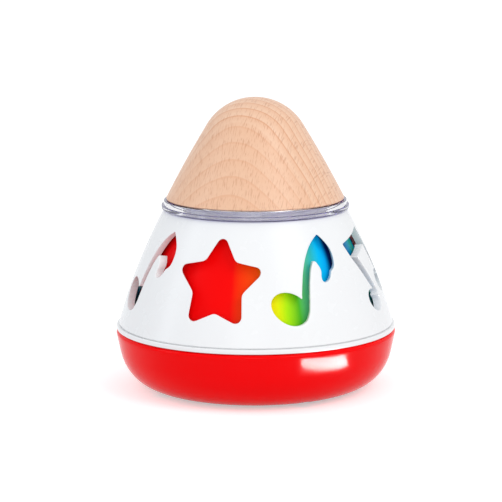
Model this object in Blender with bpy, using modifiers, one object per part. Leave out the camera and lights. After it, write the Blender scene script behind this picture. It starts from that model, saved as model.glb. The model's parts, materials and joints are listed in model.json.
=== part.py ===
"""A wind-up rotating music box: wooden winding top, windowed shell, rainbow drum and movement.

All sizes are in metres and +Z is up. The origin is on the ground under the middle of the toy.
A star window faces -Y. Turning the wooden top winds the mainspring, which then turns it back.
"""

import math
import random

import bmesh
import bpy

# Fits between pieces
SEAT_GAP = 0.0003
RUNNING_GAP = 0.0004
BEARING_GAP = 0.00015

# Facets around turned pieces, the distance within which points are welded, and the share of a
# rounded corner's radius that its middle lies inside the sharp corner
LARGE_FACETS = 48
MIDDLE_FACETS = 20
SMALL_FACETS = 10
WELD_DISTANCE = 1e-7
ARC_MIDDLE = 1.0 - math.sqrt(0.5)

# Base bowl
BOWL_FOOT_RADIUS = 0.038
BOWL_SIDE_RADIUS = 0.0585
BOWL_RIM_FLARE = 0.0015
BOWL_RIM_RADIUS = BOWL_SIDE_RADIUS + BOWL_RIM_FLARE
BOWL_CORNER_HEIGHT = 0.0165
BOWL_HEIGHT = 0.0253
BOWL_RIM_ROUND = 0.0014
BOWL_WALL = 0.0025
BOWL_CORNER_STEPS = 5

# Foot pads, set in from the edge of the bowl's flat foot
PAD_COUNT = 4
PAD_RADIUS = 0.005
PAD_THICKNESS = 0.0018
PAD_PROUD = 0.0005
PAD_INSET = 0.007
PAD_CIRCLE = BOWL_FOOT_RADIUS - PAD_INSET

# Trim ring, a little inside the bowl's rim
TRIM_INSET = 0.0002
TRIM_RADIUS = BOWL_RIM_RADIUS - TRIM_INSET
TRIM_WIDTH = 0.0118
TRIM_THICKNESS = 0.0019
TRIM_ROUND = 0.0005

# Outer shell, a step inside the trim ring at its foot
SHELL_STEP = 0.0009
SHELL_FOOT_RADIUS = TRIM_RADIUS - SHELL_STEP
SHELL_TOP_RADIUS = 0.0390
SHELL_HEIGHT = 0.0492
SHELL_BULGE = 0.0016
SHELL_WALL = 0.0034
SHELL_FOOT_ROUND = 0.0012
TOP_FLANGE_WIDTH = 0.0070
SHELL_MOUTH_RADIUS = SHELL_TOP_RADIUS - TOP_FLANGE_WIDTH
SHELL_TOP_FLANGE = 0.0025
SHELL_FOOT_FLANGE = 0.0018
FOOT_FLANGE_MOUTH = TRIM_RADIUS - TRIM_WIDTH
SHELL_STEPS = 4

# Screws that hold the bowl, the trim ring and the shell together, a step outside the movement plate
BASE_SCREW_COUNT = 4
BASE_SCREW_FIRST = 45.0
BASE_SCREW_STEP = 0.0028
BASE_POST_RADIUS = 0.0042
BASE_POST_HEIGHT = 0.0155
BASE_SCREW_SEAT = 0.0075
SHELL_BOSS_RADIUS = 0.0034
EAR_RADIUS = 0.0054
EAR_WEB_WIDTH = 0.0056
SCREW_HEAD_RADIUS = 0.0028
SCREW_HEAD_HEIGHT = 0.0018
SCREW_SHANK_RADIUS = 0.0014
BASE_SCREW_LENGTH = 0.0140

# Windows: where they face, in degrees from -Y, the height of their middle above the middle of the
# wall between the flanges, the room left above them, and their outlines. The tallest outline rises
# by the drawn rise above its middle, and all are stretched upwards so that it keeps that room
STAR_AZIMUTHS = (0, 180)
NOTE_AZIMUTHS = (45, 135, 225, 315)
DOUBLE_NOTE_AZIMUTHS = (90, 270)
WINDOW_LIFT = 0.00095
WINDOW_TOP_ROOM = 0.0036
WINDOW_DRAWN_RISE = 0.0179
WINDOW_OVERCUT = 0.004
STAR_POINTS = 5
STAR_TIP_RADIUS = 0.0202
STAR_NOTCH_RADIUS = 0.0111
STAR_TIP_ROUND = 0.0024
STAR_NOTCH_ROUND = 0.0032
STAR_RISE = -0.0006
NOTE_HEAD_HALF_LENGTH = 0.0080
NOTE_HEAD_HALF_WIDTH = 0.0062
NOTE_HEAD_TILT = -28.0
NOTE_HEAD_PLACE = (-0.0106, -0.0102)
BEAM_HEAD_HALF_LENGTH = 0.0058
BEAM_HEAD_HALF_WIDTH = 0.0044
BEAM_HEAD_TILT = -25.0
BEAM_HEAD_PLACES = ((-0.0043, -0.0121), (0.0105, -0.0062))
HEAD_FACETS = 20
CURVE_STEPS = 3
ROUND_STEPS = 3

# The flagged stem of a single note, up its left edge, over the flag and down its right edge
NOTE_STEM_OUTLINE = (
    (-0.0054, -0.0076),
    (-0.0039, -0.0008),
    (-0.0022, 0.0050),
    (0.0007, 0.0110),
    (0.0036, 0.0148),
    (0.0075, 0.0179),
    (0.0104, 0.0149),
    (0.0127, 0.0114),
    (0.0134, 0.0076),
    (0.0128, 0.0045),
    (0.0109, 0.0030),
    (0.0101, 0.0010),
    (0.0083, -0.0007),
    (0.0063, -0.0006),
    (0.0056, 0.0010),
    (0.0060, 0.0036),
    (0.0049, 0.0064),
    (0.0034, 0.0078),
    (0.0020, 0.0062),
    (0.0001, 0.0012),
    (-0.0012, -0.0046),
    (-0.0020, -0.0090),
    (-0.0030, -0.0128),
    (-0.0056, -0.0156),
    (-0.0086, -0.0120),
)
NOTE_STEM_CORNERS = (0, 5, 10, 24)

# The beam and both stems of a double note, round the outside and back along the inside
BEAM_OUTLINE = (
    (-0.0134, 0.0124),
    (0.0068, 0.0170),
    (0.0160, -0.0042),
    (0.0128, -0.0055),
    (0.0066, 0.0095),
    (-0.0066, 0.0063),
    (0.0020, -0.0105),
    (-0.0016, -0.0112),
    (-0.0117, 0.0070),
)

# Drum behind the windows
DRUM_GAP = 0.0016
DRUM_WALL = 0.0012
DRUM_FLANGE = 0.0012
DRUM_EYE_RADIUS = 0.0120
DRUM_FOOT_GAP = 0.0009

# Turntable, collar and wooden top
TURNTABLE_DISC = 0.0022
TURNTABLE_WALL = 0.0024
HUB_RADIUS = 0.0070
HUB_DROP = 0.0100
TOP_COLUMN_RADIUS = 0.0036
COLLAR_HEIGHT = 0.0034
COLLAR_STEP = 0.0011
COLLAR_TAPER = 0.0011
COLLAR_FOOT_RADIUS = SHELL_TOP_RADIUS + COLLAR_STEP
COLLAR_TOP_RADIUS = COLLAR_FOOT_RADIUS - COLLAR_TAPER
COLLAR_ROUND = 0.0004
TOP_INSET = 0.0010
TOP_RADIUS = COLLAR_TOP_RADIUS - TOP_INSET
TOP_HEIGHT = 0.0434
TOP_DOME_RADIUS = 0.0240
TOP_BULGE = 0.0004
TOP_EDGE_ROUND = 0.0006
TOP_STEPS = 5
TOP_SCREW_COUNT = 3
TOP_SCREW_FIRST = 90.0
TOP_SCREW_CIRCLE = 0.0200
TOP_SCREW_BITE = 0.0065

# Winding shaft and its bearings
SHAFT_RADIUS = 0.0030
SHAFT_JOURNAL_RADIUS = 0.0022
SHAFT_TAIL = 0.0012
SHAFT_IN_TOP = 0.0080
SET_SCREW_RADIUS = 0.0012
BUSH_FLANGE_RADIUS = 0.0046
BUSH_FLANGE_THICKNESS = 0.0008
BUSH_WALL = 0.0010

# Movement plate, which reaches a margin beyond the outer bracket
PLATE_MARGIN = 0.0029
PLATE_THICKNESS = 0.0020
PLATE_POST_HEIGHT = 0.0060
PLATE_POST_RADIUS = 0.0036
PLATE_SCREW_COUNT = 3
PLATE_SCREW_FIRST = 60.0
PLATE_SCREW_CIRCLE = 0.0340
PLATE_SCREW_LENGTH = 0.0062

# Mainspring in its housing
HOUSING_RADIUS = 0.0170
HOUSING_HEIGHT = 0.0115
HOUSING_WALL = 0.0012
HOUSING_EYE_RADIUS = 0.0052
COVER_THICKNESS = 0.0010
SPRING_TURNS = 5
SPRING_STRIP = 0.0005
SPRING_POINTS_A_TURN = 14

# Bridge over the winding shaft
BRIDGE_RISE = 0.0060
BRIDGE_THICKNESS = 0.0020
BRIDGE_NOSE = 0.0085
BRIDGE_NOSE_HALF_WIDTH = 0.0070
BRIDGE_EDGE = 0.0042
BRIDGE_CORNER_ROUND = 0.0034
PILLAR_RADIUS = 0.0026
PILLAR_PLACE = (-0.0225, 0.0120)
BRIDGE_SCREW_LENGTH = 0.0060

# Great wheel, a crown wheel with its teeth upright, and the click on it
GREAT_TEETH = 36
GREAT_FACE_WIDTH = 0.0026
GREAT_MEAN_RADIUS = 0.0165
GREAT_DISC = 0.0024
GREAT_RIM = 0.0010
RATCHET_TEETH = 12
RATCHET_RADIUS = 0.0080
RATCHET_TOOTH = 0.0012
CLICK_THICKNESS = 0.0015
PAWL_LENGTH = 0.0085
PAWL_WIDTH = 0.0009
PAWL_HEAD = 0.0020
PAWL_EYE_RADIUS = 0.0021
PAWL_PIN_RADIUS = 0.0010
PAWL_STAND_OFF = 0.0016
CLICK_SPRING_STRIP = 0.00035
CLICK_SPRING_LENGTH = 0.0072
CLICK_POST_SIZE = 0.0020

# Gear teeth
PINION_TEETH = 9
WHEEL_TEETH = 40
IDLER_TEETH = 10
WHEEL_MODULE = 0.0005
WORM_WHEEL_TEETH = 12
WORM_MODULE = 0.0008
TOOTH_SHARE = 0.36
TOOTH_ADDENDUM = 0.90
TOOTH_DEDENDUM = 1.20
CROWN_TIP_SHARE = 0.60

# Pinned cylinder, its arbor and the comb
CYLINDER_RADIUS = 0.0055
CYLINDER_LENGTH = 0.0130
CYLINDER_ROWS = 18
CYLINDER_COLUMNS = 14
PIN_HEIGHT = 0.0008
PIN_SHARE = 0.09
PIN_SCALE = 0.5
PIN_SEED = 7
ARBOR_RADIUS = 0.0010
ARBOR_END = 0.0012
WHEEL_THICKNESS = 0.0012
COMB_CLEARANCE = 0.0003
COMB_TOOTH_LENGTH = 0.0080
COMB_BED = 0.0066
COMB_THICKNESS = 0.0010
COMB_TOOTH_SHARE = 0.60
COMB_SCREW_LENGTH = 0.0050
COMB_SCREW_INSET = 0.0032

# Brackets that carry the train
BRACKET_THICKNESS = 0.0015
BRACKET_MARGIN = 0.0040
BRACKET_FOOT = 0.0075
BRACKET_FOOT_WIDTH = 0.0080
BRACKET_SCREW_LENGTH = 0.0030
TRAIN_GAP = 0.0010

# Governor
WORM_PITCH_RADIUS = 0.0022
WORM_CLEARANCE = 0.00025
WORM_THREAD_RADIUS = 0.00055
WORM_THREAD_SINK = 0.0002
WORM_TURNS = 3
WORM_POINTS_A_TURN = 12
SPINDLE_RADIUS = 0.0008
GOVERNOR_ARM_SPREAD = 0.0070
GOVERNOR_ARM_REACH = 0.0036
GOVERNOR_WIDTH = 0.0080
FAN_SPAN = 0.0140
FAN_HEIGHT = 0.0060
FAN_VANE = 0.0006
FAN_HUB_RADIUS = 0.0016
FAN_LIFT = 0.0012

# Finishes: colour, roughness, metal and clearness
FINISHES = {
    "red_plastic": ((0.80, 0.01, 0.01), 0.18, 0.0, 0.0),
    "white_plastic": ((0.92, 0.92, 0.93), 0.28, 0.0, 0.0),
    "rainbow_plastic": ((0.20, 0.70, 0.75), 0.35, 0.0, 0.0),
    "lilac_plastic": ((0.58, 0.50, 0.78), 0.30, 0.0, 0.0),
    "clear_plastic": ((0.93, 0.92, 0.97), 0.05, 0.0, 1.0),
    "beech": ((0.86, 0.62, 0.42), 0.45, 0.0, 0.0),
    "grey_rubber": ((0.18, 0.18, 0.19), 0.85, 0.0, 0.0),
    "zinc_steel": ((0.62, 0.63, 0.65), 0.35, 1.0, 0.0),
    "bright_steel": ((0.72, 0.73, 0.75), 0.25, 1.0, 0.0),
    "brushed_steel": ((0.58, 0.59, 0.60), 0.45, 1.0, 0.0),
    "blued_steel": ((0.20, 0.24, 0.36), 0.35, 1.0, 0.0),
    "cast_zinc": ((0.50, 0.51, 0.53), 0.55, 1.0, 0.0),
    "brass": ((0.78, 0.58, 0.24), 0.30, 1.0, 0.0),
    "bronze": ((0.62, 0.42, 0.22), 0.38, 1.0, 0.0),
    "white_acetal": ((0.90, 0.89, 0.85), 0.45, 0.0, 0.0),
    "black_plastic": ((0.04, 0.04, 0.04), 0.45, 0.0, 0.0),
}

# Heights, from the ground up
bowl_bottom = PAD_PROUD
bowl_floor = bowl_bottom + BOWL_WALL
bowl_top = bowl_bottom + BOWL_HEIGHT
post_top = bowl_bottom + BASE_POST_HEIGHT
trim_bottom = bowl_top + SEAT_GAP
trim_top = trim_bottom + TRIM_THICKNESS
shell_bottom = trim_top + SEAT_GAP
shell_top = shell_bottom + SHELL_HEIGHT
foot_flange_top = shell_bottom + SHELL_FOOT_FLANGE
top_flange_bottom = shell_top - SHELL_TOP_FLANGE
disc_top = top_flange_bottom - RUNNING_GAP
disc_bottom = disc_top - TURNTABLE_DISC
drum_bottom = foot_flange_top + DRUM_FOOT_GAP
drum_flange_top = disc_bottom - SEAT_GAP
drum_flange_bottom = drum_flange_top - DRUM_FLANGE
collar_bottom = shell_top + RUNNING_GAP
collar_top = collar_bottom + COLLAR_HEIGHT
wood_bottom = collar_top + SEAT_GAP
wood_top = wood_bottom + TOP_HEIGHT
plate_bottom = bowl_floor + PLATE_POST_HEIGHT + SEAT_GAP
plate_top = plate_bottom + PLATE_THICKNESS
housing_bottom = plate_top + SEAT_GAP
housing_top = housing_bottom + HOUSING_HEIGHT
cover_bottom = housing_top + SEAT_GAP
cover_top = cover_bottom + COVER_THICKNESS
great_bottom = cover_top + RUNNING_GAP
great_disc_top = great_bottom + GREAT_DISC
great_rim_top = great_disc_top + GREAT_RIM
click_bottom = great_disc_top + SEAT_GAP
click_top = click_bottom + CLICK_THICKNESS
bridge_bottom = click_top + BRIDGE_RISE
bridge_top = bridge_bottom + BRIDGE_THICKNESS
window_middle = (foot_flange_top + top_flange_bottom) / 2 + WINDOW_LIFT
window_stretch = (top_flange_bottom - WINDOW_TOP_ROOM - window_middle) / WINDOW_DRAWN_RISE

# The crown wheel's pitch sets the pinion's size, and both set the cylinder's height
pinion_module = 2 * GREAT_MEAN_RADIUS / GREAT_TEETH
pinion_radius = pinion_module * PINION_TEETH / 2
crown_pitch_height = great_rim_top + TOOTH_DEDENDUM * pinion_module
crown_tooth_top = crown_pitch_height + TOOTH_ADDENDUM * pinion_module
train_height = crown_pitch_height + pinion_radius

# The train along the cylinder's arbor, from the winding shaft outwards
crown_inside = GREAT_MEAN_RADIUS - GREAT_FACE_WIDTH / 2
crown_outside = GREAT_MEAN_RADIUS + GREAT_FACE_WIDTH / 2
inner_bracket_start = max(crown_outside, HOUSING_RADIUS) + TRAIN_GAP
inner_bracket_end = inner_bracket_start + BRACKET_THICKNESS
cylinder_start = inner_bracket_end + TRAIN_GAP
cylinder_end = cylinder_start + CYLINDER_LENGTH
wheel_start = cylinder_end + SEAT_GAP
wheel_end = wheel_start + WHEEL_THICKNESS
outer_bracket_start = wheel_end + TRAIN_GAP
outer_bracket_end = outer_bracket_start + BRACKET_THICKNESS
arbor_start = crown_inside - ARBOR_END
arbor_end = outer_bracket_end + ARBOR_END
idler_start = inner_bracket_start - ARBOR_END
plate_radius = outer_bracket_end + PLATE_MARGIN
base_screw_circle = plate_radius + BASE_SCREW_STEP

# The pawl's pivot, beside the ratchet wheel
pawl_x = -(RATCHET_RADIUS + PAWL_STAND_OFF)
pawl_y = -PAWL_LENGTH

# Centre distances across the train
wheel_radius = WHEEL_MODULE * WHEEL_TEETH / 2
idler_radius = WHEEL_MODULE * IDLER_TEETH / 2
idler_place = wheel_radius + idler_radius
worm_wheel_radius = WORM_MODULE * WORM_WHEEL_TEETH / 2
worm_lead = math.pi * WORM_MODULE
worm_core_radius = WORM_PITCH_RADIUS - TOOTH_ADDENDUM * WORM_MODULE - WORM_CLEARANCE
worm_thread_circle = worm_core_radius + WORM_THREAD_RADIUS - WORM_THREAD_SINK
governor_place = idler_place + worm_wheel_radius + WORM_PITCH_RADIUS
governor_along = (cylinder_start + cylinder_end) / 2

# The governor's heights
lower_arm_bottom = train_height - GOVERNOR_ARM_SPREAD - BRACKET_THICKNESS
upper_arm_bottom = train_height + GOVERNOR_ARM_SPREAD
upper_arm_top = upper_arm_bottom + BRACKET_THICKNESS
fan_bottom = upper_arm_top + FAN_LIFT
fan_top = fan_bottom + FAN_HEIGHT

# The comb beside the cylinder
comb_tip = -(CYLINDER_RADIUS + PIN_HEIGHT + COMB_CLEARANCE)
comb_root = comb_tip - COMB_TOOTH_LENGTH
comb_back = comb_root - COMB_BED
comb_bottom = train_height - COMB_THICKNESS / 2
comb_top = comb_bottom + COMB_THICKNESS

# Holes and bores that follow from what passes through them
shank_hole = SCREW_SHANK_RADIUS + SEAT_GAP
head_hole = SCREW_HEAD_RADIUS + SEAT_GAP
shaft_hole = SHAFT_RADIUS + SEAT_GAP
turntable_boss_radius = SHELL_MOUTH_RADIUS - RUNNING_GAP

parts = None
tools = None


def clear_scene():
    """Empty the scene and make the collections for the toy and for its cutting tools."""
    global parts, tools
    for old in list(bpy.data.objects):
        bpy.data.objects.remove(old, do_unlink=True)
    parts = bpy.data.collections.new("rotating_music_box")
    tools = bpy.data.collections.new("cutters")
    for collection in (parts, tools):
        bpy.context.scene.collection.children.link(collection)


def finish(name, colour, roughness, metallic, transmission):
    """Return a plain Principled material."""
    made = bpy.data.materials.new(name)
    made.use_nodes = True
    shader = made.node_tree.nodes["Principled BSDF"]
    shader.inputs["Base Color"].default_value = (*colour, 1.0)
    shader.inputs["Roughness"].default_value = roughness
    shader.inputs["Metallic"].default_value = metallic
    shader.inputs["Transmission Weight"].default_value = transmission
    made.diffuse_color = (*colour, 1.0)
    return made


def as_part(made, material, parent=None):
    """Put an object among the toy's parts, with its material and the axis that it moves about."""
    parts.objects.link(made)
    made.data.materials.append(material)
    made.parent = parent
    return made


def as_tool(made, parent=None):
    """Put an object among the cutters, hidden from renders."""
    tools.objects.link(made)
    made.parent = parent
    made.hide_render = True
    made.display_type = "WIRE"
    return made


def axis_empty(name, place, along_x=False):
    """Return an empty on a joint's axis. Its own Z lies along the axis."""
    made = bpy.data.objects.new(name, None)
    made.location = place
    if along_x:
        made.rotation_euler = (0.0, math.pi / 2, 0.0)
    parts.objects.link(made)
    return made


def turned(name, profile, facets=LARGE_FACETS):
    """Return a turned object. Its (radius, height) profile runs down its outer side.

    A profile that starts on the axis also ends there. Any other is closed into a ring.
    """
    count = len(profile)
    edges = [(i, i + 1) for i in range(count - 1)]
    if profile[0][0] > 0:
        edges.append((count - 1, 0))
    mesh = bpy.data.meshes.new(name)
    mesh.from_pydata([(radius, 0.0, height) for radius, height in profile], edges, [])
    made = bpy.data.objects.new(name, mesh)
    screw = made.modifiers.new("turn", "SCREW")
    screw.steps = facets
    screw.render_steps = facets
    screw.use_merge_vertices = True
    screw.merge_threshold = WELD_DISTANCE
    screw.use_smooth_shade = True
    return made


def cylinder(name, radius, bottom, top, place=(0.0, 0.0), facets=SMALL_FACETS):
    """Return an upright cylinder between two heights."""
    shape = bmesh.new()
    bmesh.ops.create_cone(
        shape, cap_ends=True, segments=facets, radius1=radius, radius2=radius, depth=top - bottom
    )
    mesh = bpy.data.meshes.new(name)
    shape.to_mesh(mesh)
    shape.free()
    made = bpy.data.objects.new(name, mesh)
    made.location = (*place, (bottom + top) / 2)
    return made


def block(name, low, high):
    """Return a box between two opposite corners."""
    shape = bmesh.new()
    bmesh.ops.create_cube(shape, size=1.0)
    bmesh.ops.scale(shape, verts=shape.verts, vec=[b - a for a, b in zip(low, high)])
    mesh = bpy.data.meshes.new(name)
    shape.to_mesh(mesh)
    shape.free()
    made = bpy.data.objects.new(name, mesh)
    made.location = [(a + b) / 2 for a, b in zip(low, high)]
    return made


def mesh_of(source, name):
    """Return the evaluated shape of an unlinked object as a welded mesh, and drop the object."""
    bpy.context.scene.collection.objects.link(source)
    bpy.context.view_layer.update()
    evaluated = source.evaluated_get(bpy.context.evaluated_depsgraph_get())
    mesh = bpy.data.meshes.new_from_object(evaluated)
    mesh.name = name
    bpy.data.objects.remove(source, do_unlink=True)
    shape = bmesh.new()
    shape.from_mesh(mesh)
    bmesh.ops.remove_doubles(shape, verts=shape.verts, dist=WELD_DISTANCE)
    bmesh.ops.recalc_face_normals(shape, faces=shape.faces)
    shape.to_mesh(mesh)
    shape.free()
    return mesh


def prism(name, outlines, bottom, top, corners=None):
    """Return an upright solid of a flat outline, with any further outlines as holes in it.

    With corners given, the first outline is a smooth curve with sharp points at those numbers.
    """
    curve = bpy.data.curves.new(name, "CURVE")
    curve.dimensions = "2D"
    curve.fill_mode = "BOTH"
    curve.extrude = (top - bottom) / 2
    curve.resolution_u = CURVE_STEPS
    for outline in outlines:
        if corners is None:
            spline = curve.splines.new("POLY")
            spline.points.add(len(outline) - 1)
            for point, (x, y) in zip(spline.points, outline):
                point.co = (x, y, 0.0, 1.0)
        else:
            spline = curve.splines.new("BEZIER")
            spline.bezier_points.add(len(outline) - 1)
            for i, (point, (x, y)) in enumerate(zip(spline.bezier_points, outline)):
                kind = "VECTOR" if i in corners else "AUTO"
                point.co = (x, y, 0.0)
                point.handle_left_type = kind
                point.handle_right_type = kind
        spline.use_cyclic_u = True
    made = bpy.data.objects.new(name, mesh_of(bpy.data.objects.new(name, curve), name))
    made.location = (0.0, 0.0, (bottom + top) / 2)
    return made


def combine(target, tool, operation):
    """Join a tool to a part, or cut it out of the part."""
    step = target.modifiers.new(tool.name, "BOOLEAN")
    step.operation = operation
    step.solver = "EXACT"
    step.object = tool
    return target


def cut(target, tool, parent=None):
    """Cut a tool out of a part."""
    return combine(target, as_tool(tool, parent), "DIFFERENCE")


def join(target, tool, parent=None):
    """Make a tool one with a part."""
    return combine(target, as_tool(tool, parent), "UNION")


def bore(radius, facets=SMALL_FACETS):
    """Return the corner radius of a faceted hole whose flats clear a round pin of this radius."""
    return radius / math.cos(math.pi / facets)


def ring_places(count, circle, first=0.0):
    """Return places spaced evenly on a circle. The first angle is in degrees."""
    angles = [math.radians(first + 360.0 * i / count) for i in range(count)]
    return [(circle * math.cos(a), circle * math.sin(a)) for a in angles]


base_screw_places = ring_places(BASE_SCREW_COUNT, base_screw_circle, BASE_SCREW_FIRST)
plate_screw_places = ring_places(PLATE_SCREW_COUNT, PLATE_SCREW_CIRCLE, PLATE_SCREW_FIRST)
top_screw_places = ring_places(TOP_SCREW_COUNT, TOP_SCREW_CIRCLE, TOP_SCREW_FIRST)


def circle_outline(radius, place=(0.0, 0.0), facets=SMALL_FACETS):
    """Return the corners of a regular polygon."""
    return [(place[0] + x, place[1] + y) for x, y in ring_places(facets, radius)]


def ellipse_outline(half_length, half_width, tilt, place):
    """Return points on a tilted ellipse. The tilt is in degrees."""
    cosine = math.cos(math.radians(tilt))
    sine = math.sin(math.radians(tilt))
    return [
        (
            place[0] + half_length * x * cosine - half_width * y * sine,
            place[1] + half_length * x * sine + half_width * y * cosine,
        )
        for x, y in ring_places(HEAD_FACETS, 1.0)
    ]


def rounded(corners, radii):
    """Return an outline with each corner replaced by an arc of its radius."""
    points = []
    for i, corner in enumerate(corners):
        before = corners[i - 1]
        after = corners[(i + 1) % len(corners)]
        back = math.atan2(before[1] - corner[1], before[0] - corner[0])
        ahead = math.atan2(after[1] - corner[1], after[0] - corner[0])
        opening = math.remainder(ahead - back, math.tau)
        middle = back + opening / 2
        half = abs(opening) / 2
        centre_distance = radii[i] / math.sin(half)
        centre = (
            corner[0] + centre_distance * math.cos(middle),
            corner[1] + centre_distance * math.sin(middle),
        )
        sweep = math.copysign(math.pi / 2 - half, -opening)
        for step in range(ROUND_STEPS + 1):
            angle = middle + math.pi - sweep + 2 * sweep * step / ROUND_STEPS
            points.append(
                (centre[0] + radii[i] * math.cos(angle), centre[1] + radii[i] * math.sin(angle))
            )
    return points


def gear_outline(teeth, module, gap_first=False):
    """Return a gear's outline with plain tapered teeth. The first tooth, or gap, is on +X."""
    pitch = math.tau / teeth
    outer = module * (teeth / 2 + TOOTH_ADDENDUM)
    root = module * (teeth / 2 - TOOTH_DEDENDUM)
    half = TOOTH_SHARE * pitch / 2
    taper = half / 2
    points = []
    for i in range(teeth):
        middle = pitch * (i + 0.5 if gap_first else i)
        for radius, offset in (
            (root, -half - taper),
            (outer, -half + taper),
            (outer, half - taper),
            (root, half + taper),
        ):
            points.append((radius * math.cos(middle + offset), radius * math.sin(middle + offset)))
    return points


def bulge(most, share):
    """Return a shallow arc's rise at a share of its length: nothing at its ends, most midway."""
    return 4 * most * share * (1 - share)


def shell_radius(height):
    """Return the shell's outer radius at a height: a straight taper with a slight bulge."""
    share = (height - shell_bottom) / SHELL_HEIGHT
    straight = SHELL_FOOT_RADIUS + (SHELL_TOP_RADIUS - SHELL_FOOT_RADIUS) * share
    return straight + bulge(SHELL_BULGE, share)


def drum_radius(height):
    """Return the drum's outer radius at a height, inside the shell's wall."""
    return shell_radius(height) - SHELL_WALL - DRUM_GAP


def spread(start, end, steps):
    """Return evenly spaced numbers from start to end, both included."""
    return [start + (end - start) * i / steps for i in range(steps + 1)]


def screw_fastener(name, place, seat, length, material, up=False, parent=None):
    """Return a pan-head screw whose head bears on a seat. Its tip points down unless up is set."""
    way = 1.0 if up else -1.0
    under_head = seat - way * SEAT_GAP
    tip = under_head + way * length
    crown = under_head - way * SCREW_HEAD_HEIGHT
    profile = [
        (0.0, tip),
        (SCREW_SHANK_RADIUS, tip),
        (SCREW_SHANK_RADIUS, under_head),
        (SCREW_HEAD_RADIUS, under_head),
        (SCREW_HEAD_RADIUS, crown),
        (0.0, crown),
    ]
    if not up:
        profile.reverse()
    made = turned(name, profile, SMALL_FACETS)
    made.location = (*place, 0.0)
    return as_part(made, material, parent)


def flanged_bush(name, seat, depth, inner, material):
    """Return a bearing bush whose flange rests on a seat and whose barrel goes down into it."""
    outer = inner + BUSH_WALL
    inner = bore(inner, MIDDLE_FACETS)
    flange_bottom = seat + SEAT_GAP
    flange_top = flange_bottom + BUSH_FLANGE_THICKNESS
    profile = [
        (inner, flange_top),
        (BUSH_FLANGE_RADIUS, flange_top),
        (BUSH_FLANGE_RADIUS, flange_bottom),
        (outer, flange_bottom),
        (outer, seat - depth),
        (inner, seat - depth),
    ]
    return as_part(turned(name, profile, MIDDLE_FACETS), material)


def bowl_underside(radius):
    """Return the height of the bowl's outer surface at a radius within its rounded corner."""
    share = (radius - BOWL_FOOT_RADIUS) / (BOWL_SIDE_RADIUS - BOWL_FOOT_RADIUS)
    return bowl_bottom + BOWL_CORNER_HEIGHT * (1 - math.sqrt(1 - share * share))


def build_bowl(finishes):
    """Make the red bowl with its posts, and the rubber feet in its floor."""
    side_bottom = bowl_bottom + BOWL_CORNER_HEIGHT
    reach = BOWL_SIDE_RADIUS - BOWL_FOOT_RADIUS
    quarter = spread(math.pi / 2, 0.0, BOWL_CORNER_STEPS)
    inside = [
        (
            BOWL_FOOT_RADIUS + (reach - BOWL_WALL) * math.cos(a),
            side_bottom - (BOWL_CORNER_HEIGHT - BOWL_WALL) * math.sin(a),
        )
        for a in quarter
    ]
    outside = [
        (
            BOWL_FOOT_RADIUS + reach * math.cos(a),
            side_bottom - BOWL_CORNER_HEIGHT * math.sin(a),
        )
        for a in reversed(quarter)
    ]
    rim_bend = bowl_top - BOWL_RIM_ROUND
    rim = [
        (BOWL_RIM_RADIUS - BOWL_WALL, bowl_top),
        (BOWL_RIM_RADIUS - BOWL_RIM_ROUND, bowl_top),
        (BOWL_RIM_RADIUS - BOWL_RIM_ROUND * ARC_MIDDLE, bowl_top - BOWL_RIM_ROUND * ARC_MIDDLE),
        (BOWL_RIM_RADIUS, rim_bend),
    ]
    profile = [(0.0, bowl_floor), *inside, *rim, *outside, (0.0, bowl_bottom)]
    bowl = as_part(turned("base_bowl", profile), finishes["red_plastic"])

    for i, place in enumerate(base_screw_places, 1):
        seat = bowl_bottom + BASE_SCREW_SEAT
        post_root = bowl_underside(base_screw_circle + BASE_POST_RADIUS) + SEAT_GAP
        join(bowl, cylinder(f"base_post_{i}", BASE_POST_RADIUS, post_root, post_top, place))
        cut(bowl, cylinder(f"base_well_{i}", head_hole, bowl_bottom - BOWL_WALL, seat, place))
        cut(bowl, cylinder(f"base_hole_{i}", shank_hole, seat - SEAT_GAP, post_top + BOWL_WALL, place))
        screw_fastener(
            f"base_screw_{i}", place, seat, BASE_SCREW_LENGTH, finishes["zinc_steel"], up=True
        )

    post_bottom = bowl_bottom + BOWL_WALL / 2
    plate_post_top = bowl_floor + PLATE_POST_HEIGHT
    for i, place in enumerate(plate_screw_places, 1):
        join(bowl, cylinder(f"plate_post_{i}", PLATE_POST_RADIUS, post_bottom, plate_post_top, place))
        pilot_bottom = plate_top - PLATE_SCREW_LENGTH - SEAT_GAP
        cut(bowl, cylinder(f"plate_pilot_{i}", shank_hole, pilot_bottom, plate_top, place))

    pocket_top = PAD_THICKNESS + SEAT_GAP
    for i, place in enumerate(ring_places(PAD_COUNT, PAD_CIRCLE), 1):
        pocket_radius = bore(PAD_RADIUS + SEAT_GAP, MIDDLE_FACETS)
        pocket = cylinder(
            f"pad_pocket_{i}", pocket_radius, bowl_bottom - BOWL_WALL, pocket_top, place, MIDDLE_FACETS
        )
        cut(bowl, pocket)
        pad = cylinder(f"foot_pad_{i}", PAD_RADIUS, 0.0, PAD_THICKNESS, place, MIDDLE_FACETS)
        as_part(pad, finishes["grey_rubber"])


def join_ear(target, name, bottom, top, place):
    """Join an ear round a base screw, with a web that ties it to the foot flange's middle."""
    join(target, cylinder(name, EAR_RADIUS, bottom, top, place))
    reach = (FOOT_FLANGE_MOUTH + TRIM_RADIUS) / 2
    web = block(
        f"{name}_web",
        (base_screw_circle, -EAR_WEB_WIDTH / 2, bottom),
        (reach, EAR_WEB_WIDTH / 2, top),
    )
    angle = math.atan2(place[1], place[0])
    middle = web.location.x
    web.location.x = middle * math.cos(angle)
    web.location.y = middle * math.sin(angle)
    web.rotation_euler.z = angle
    join(target, web)


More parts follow.
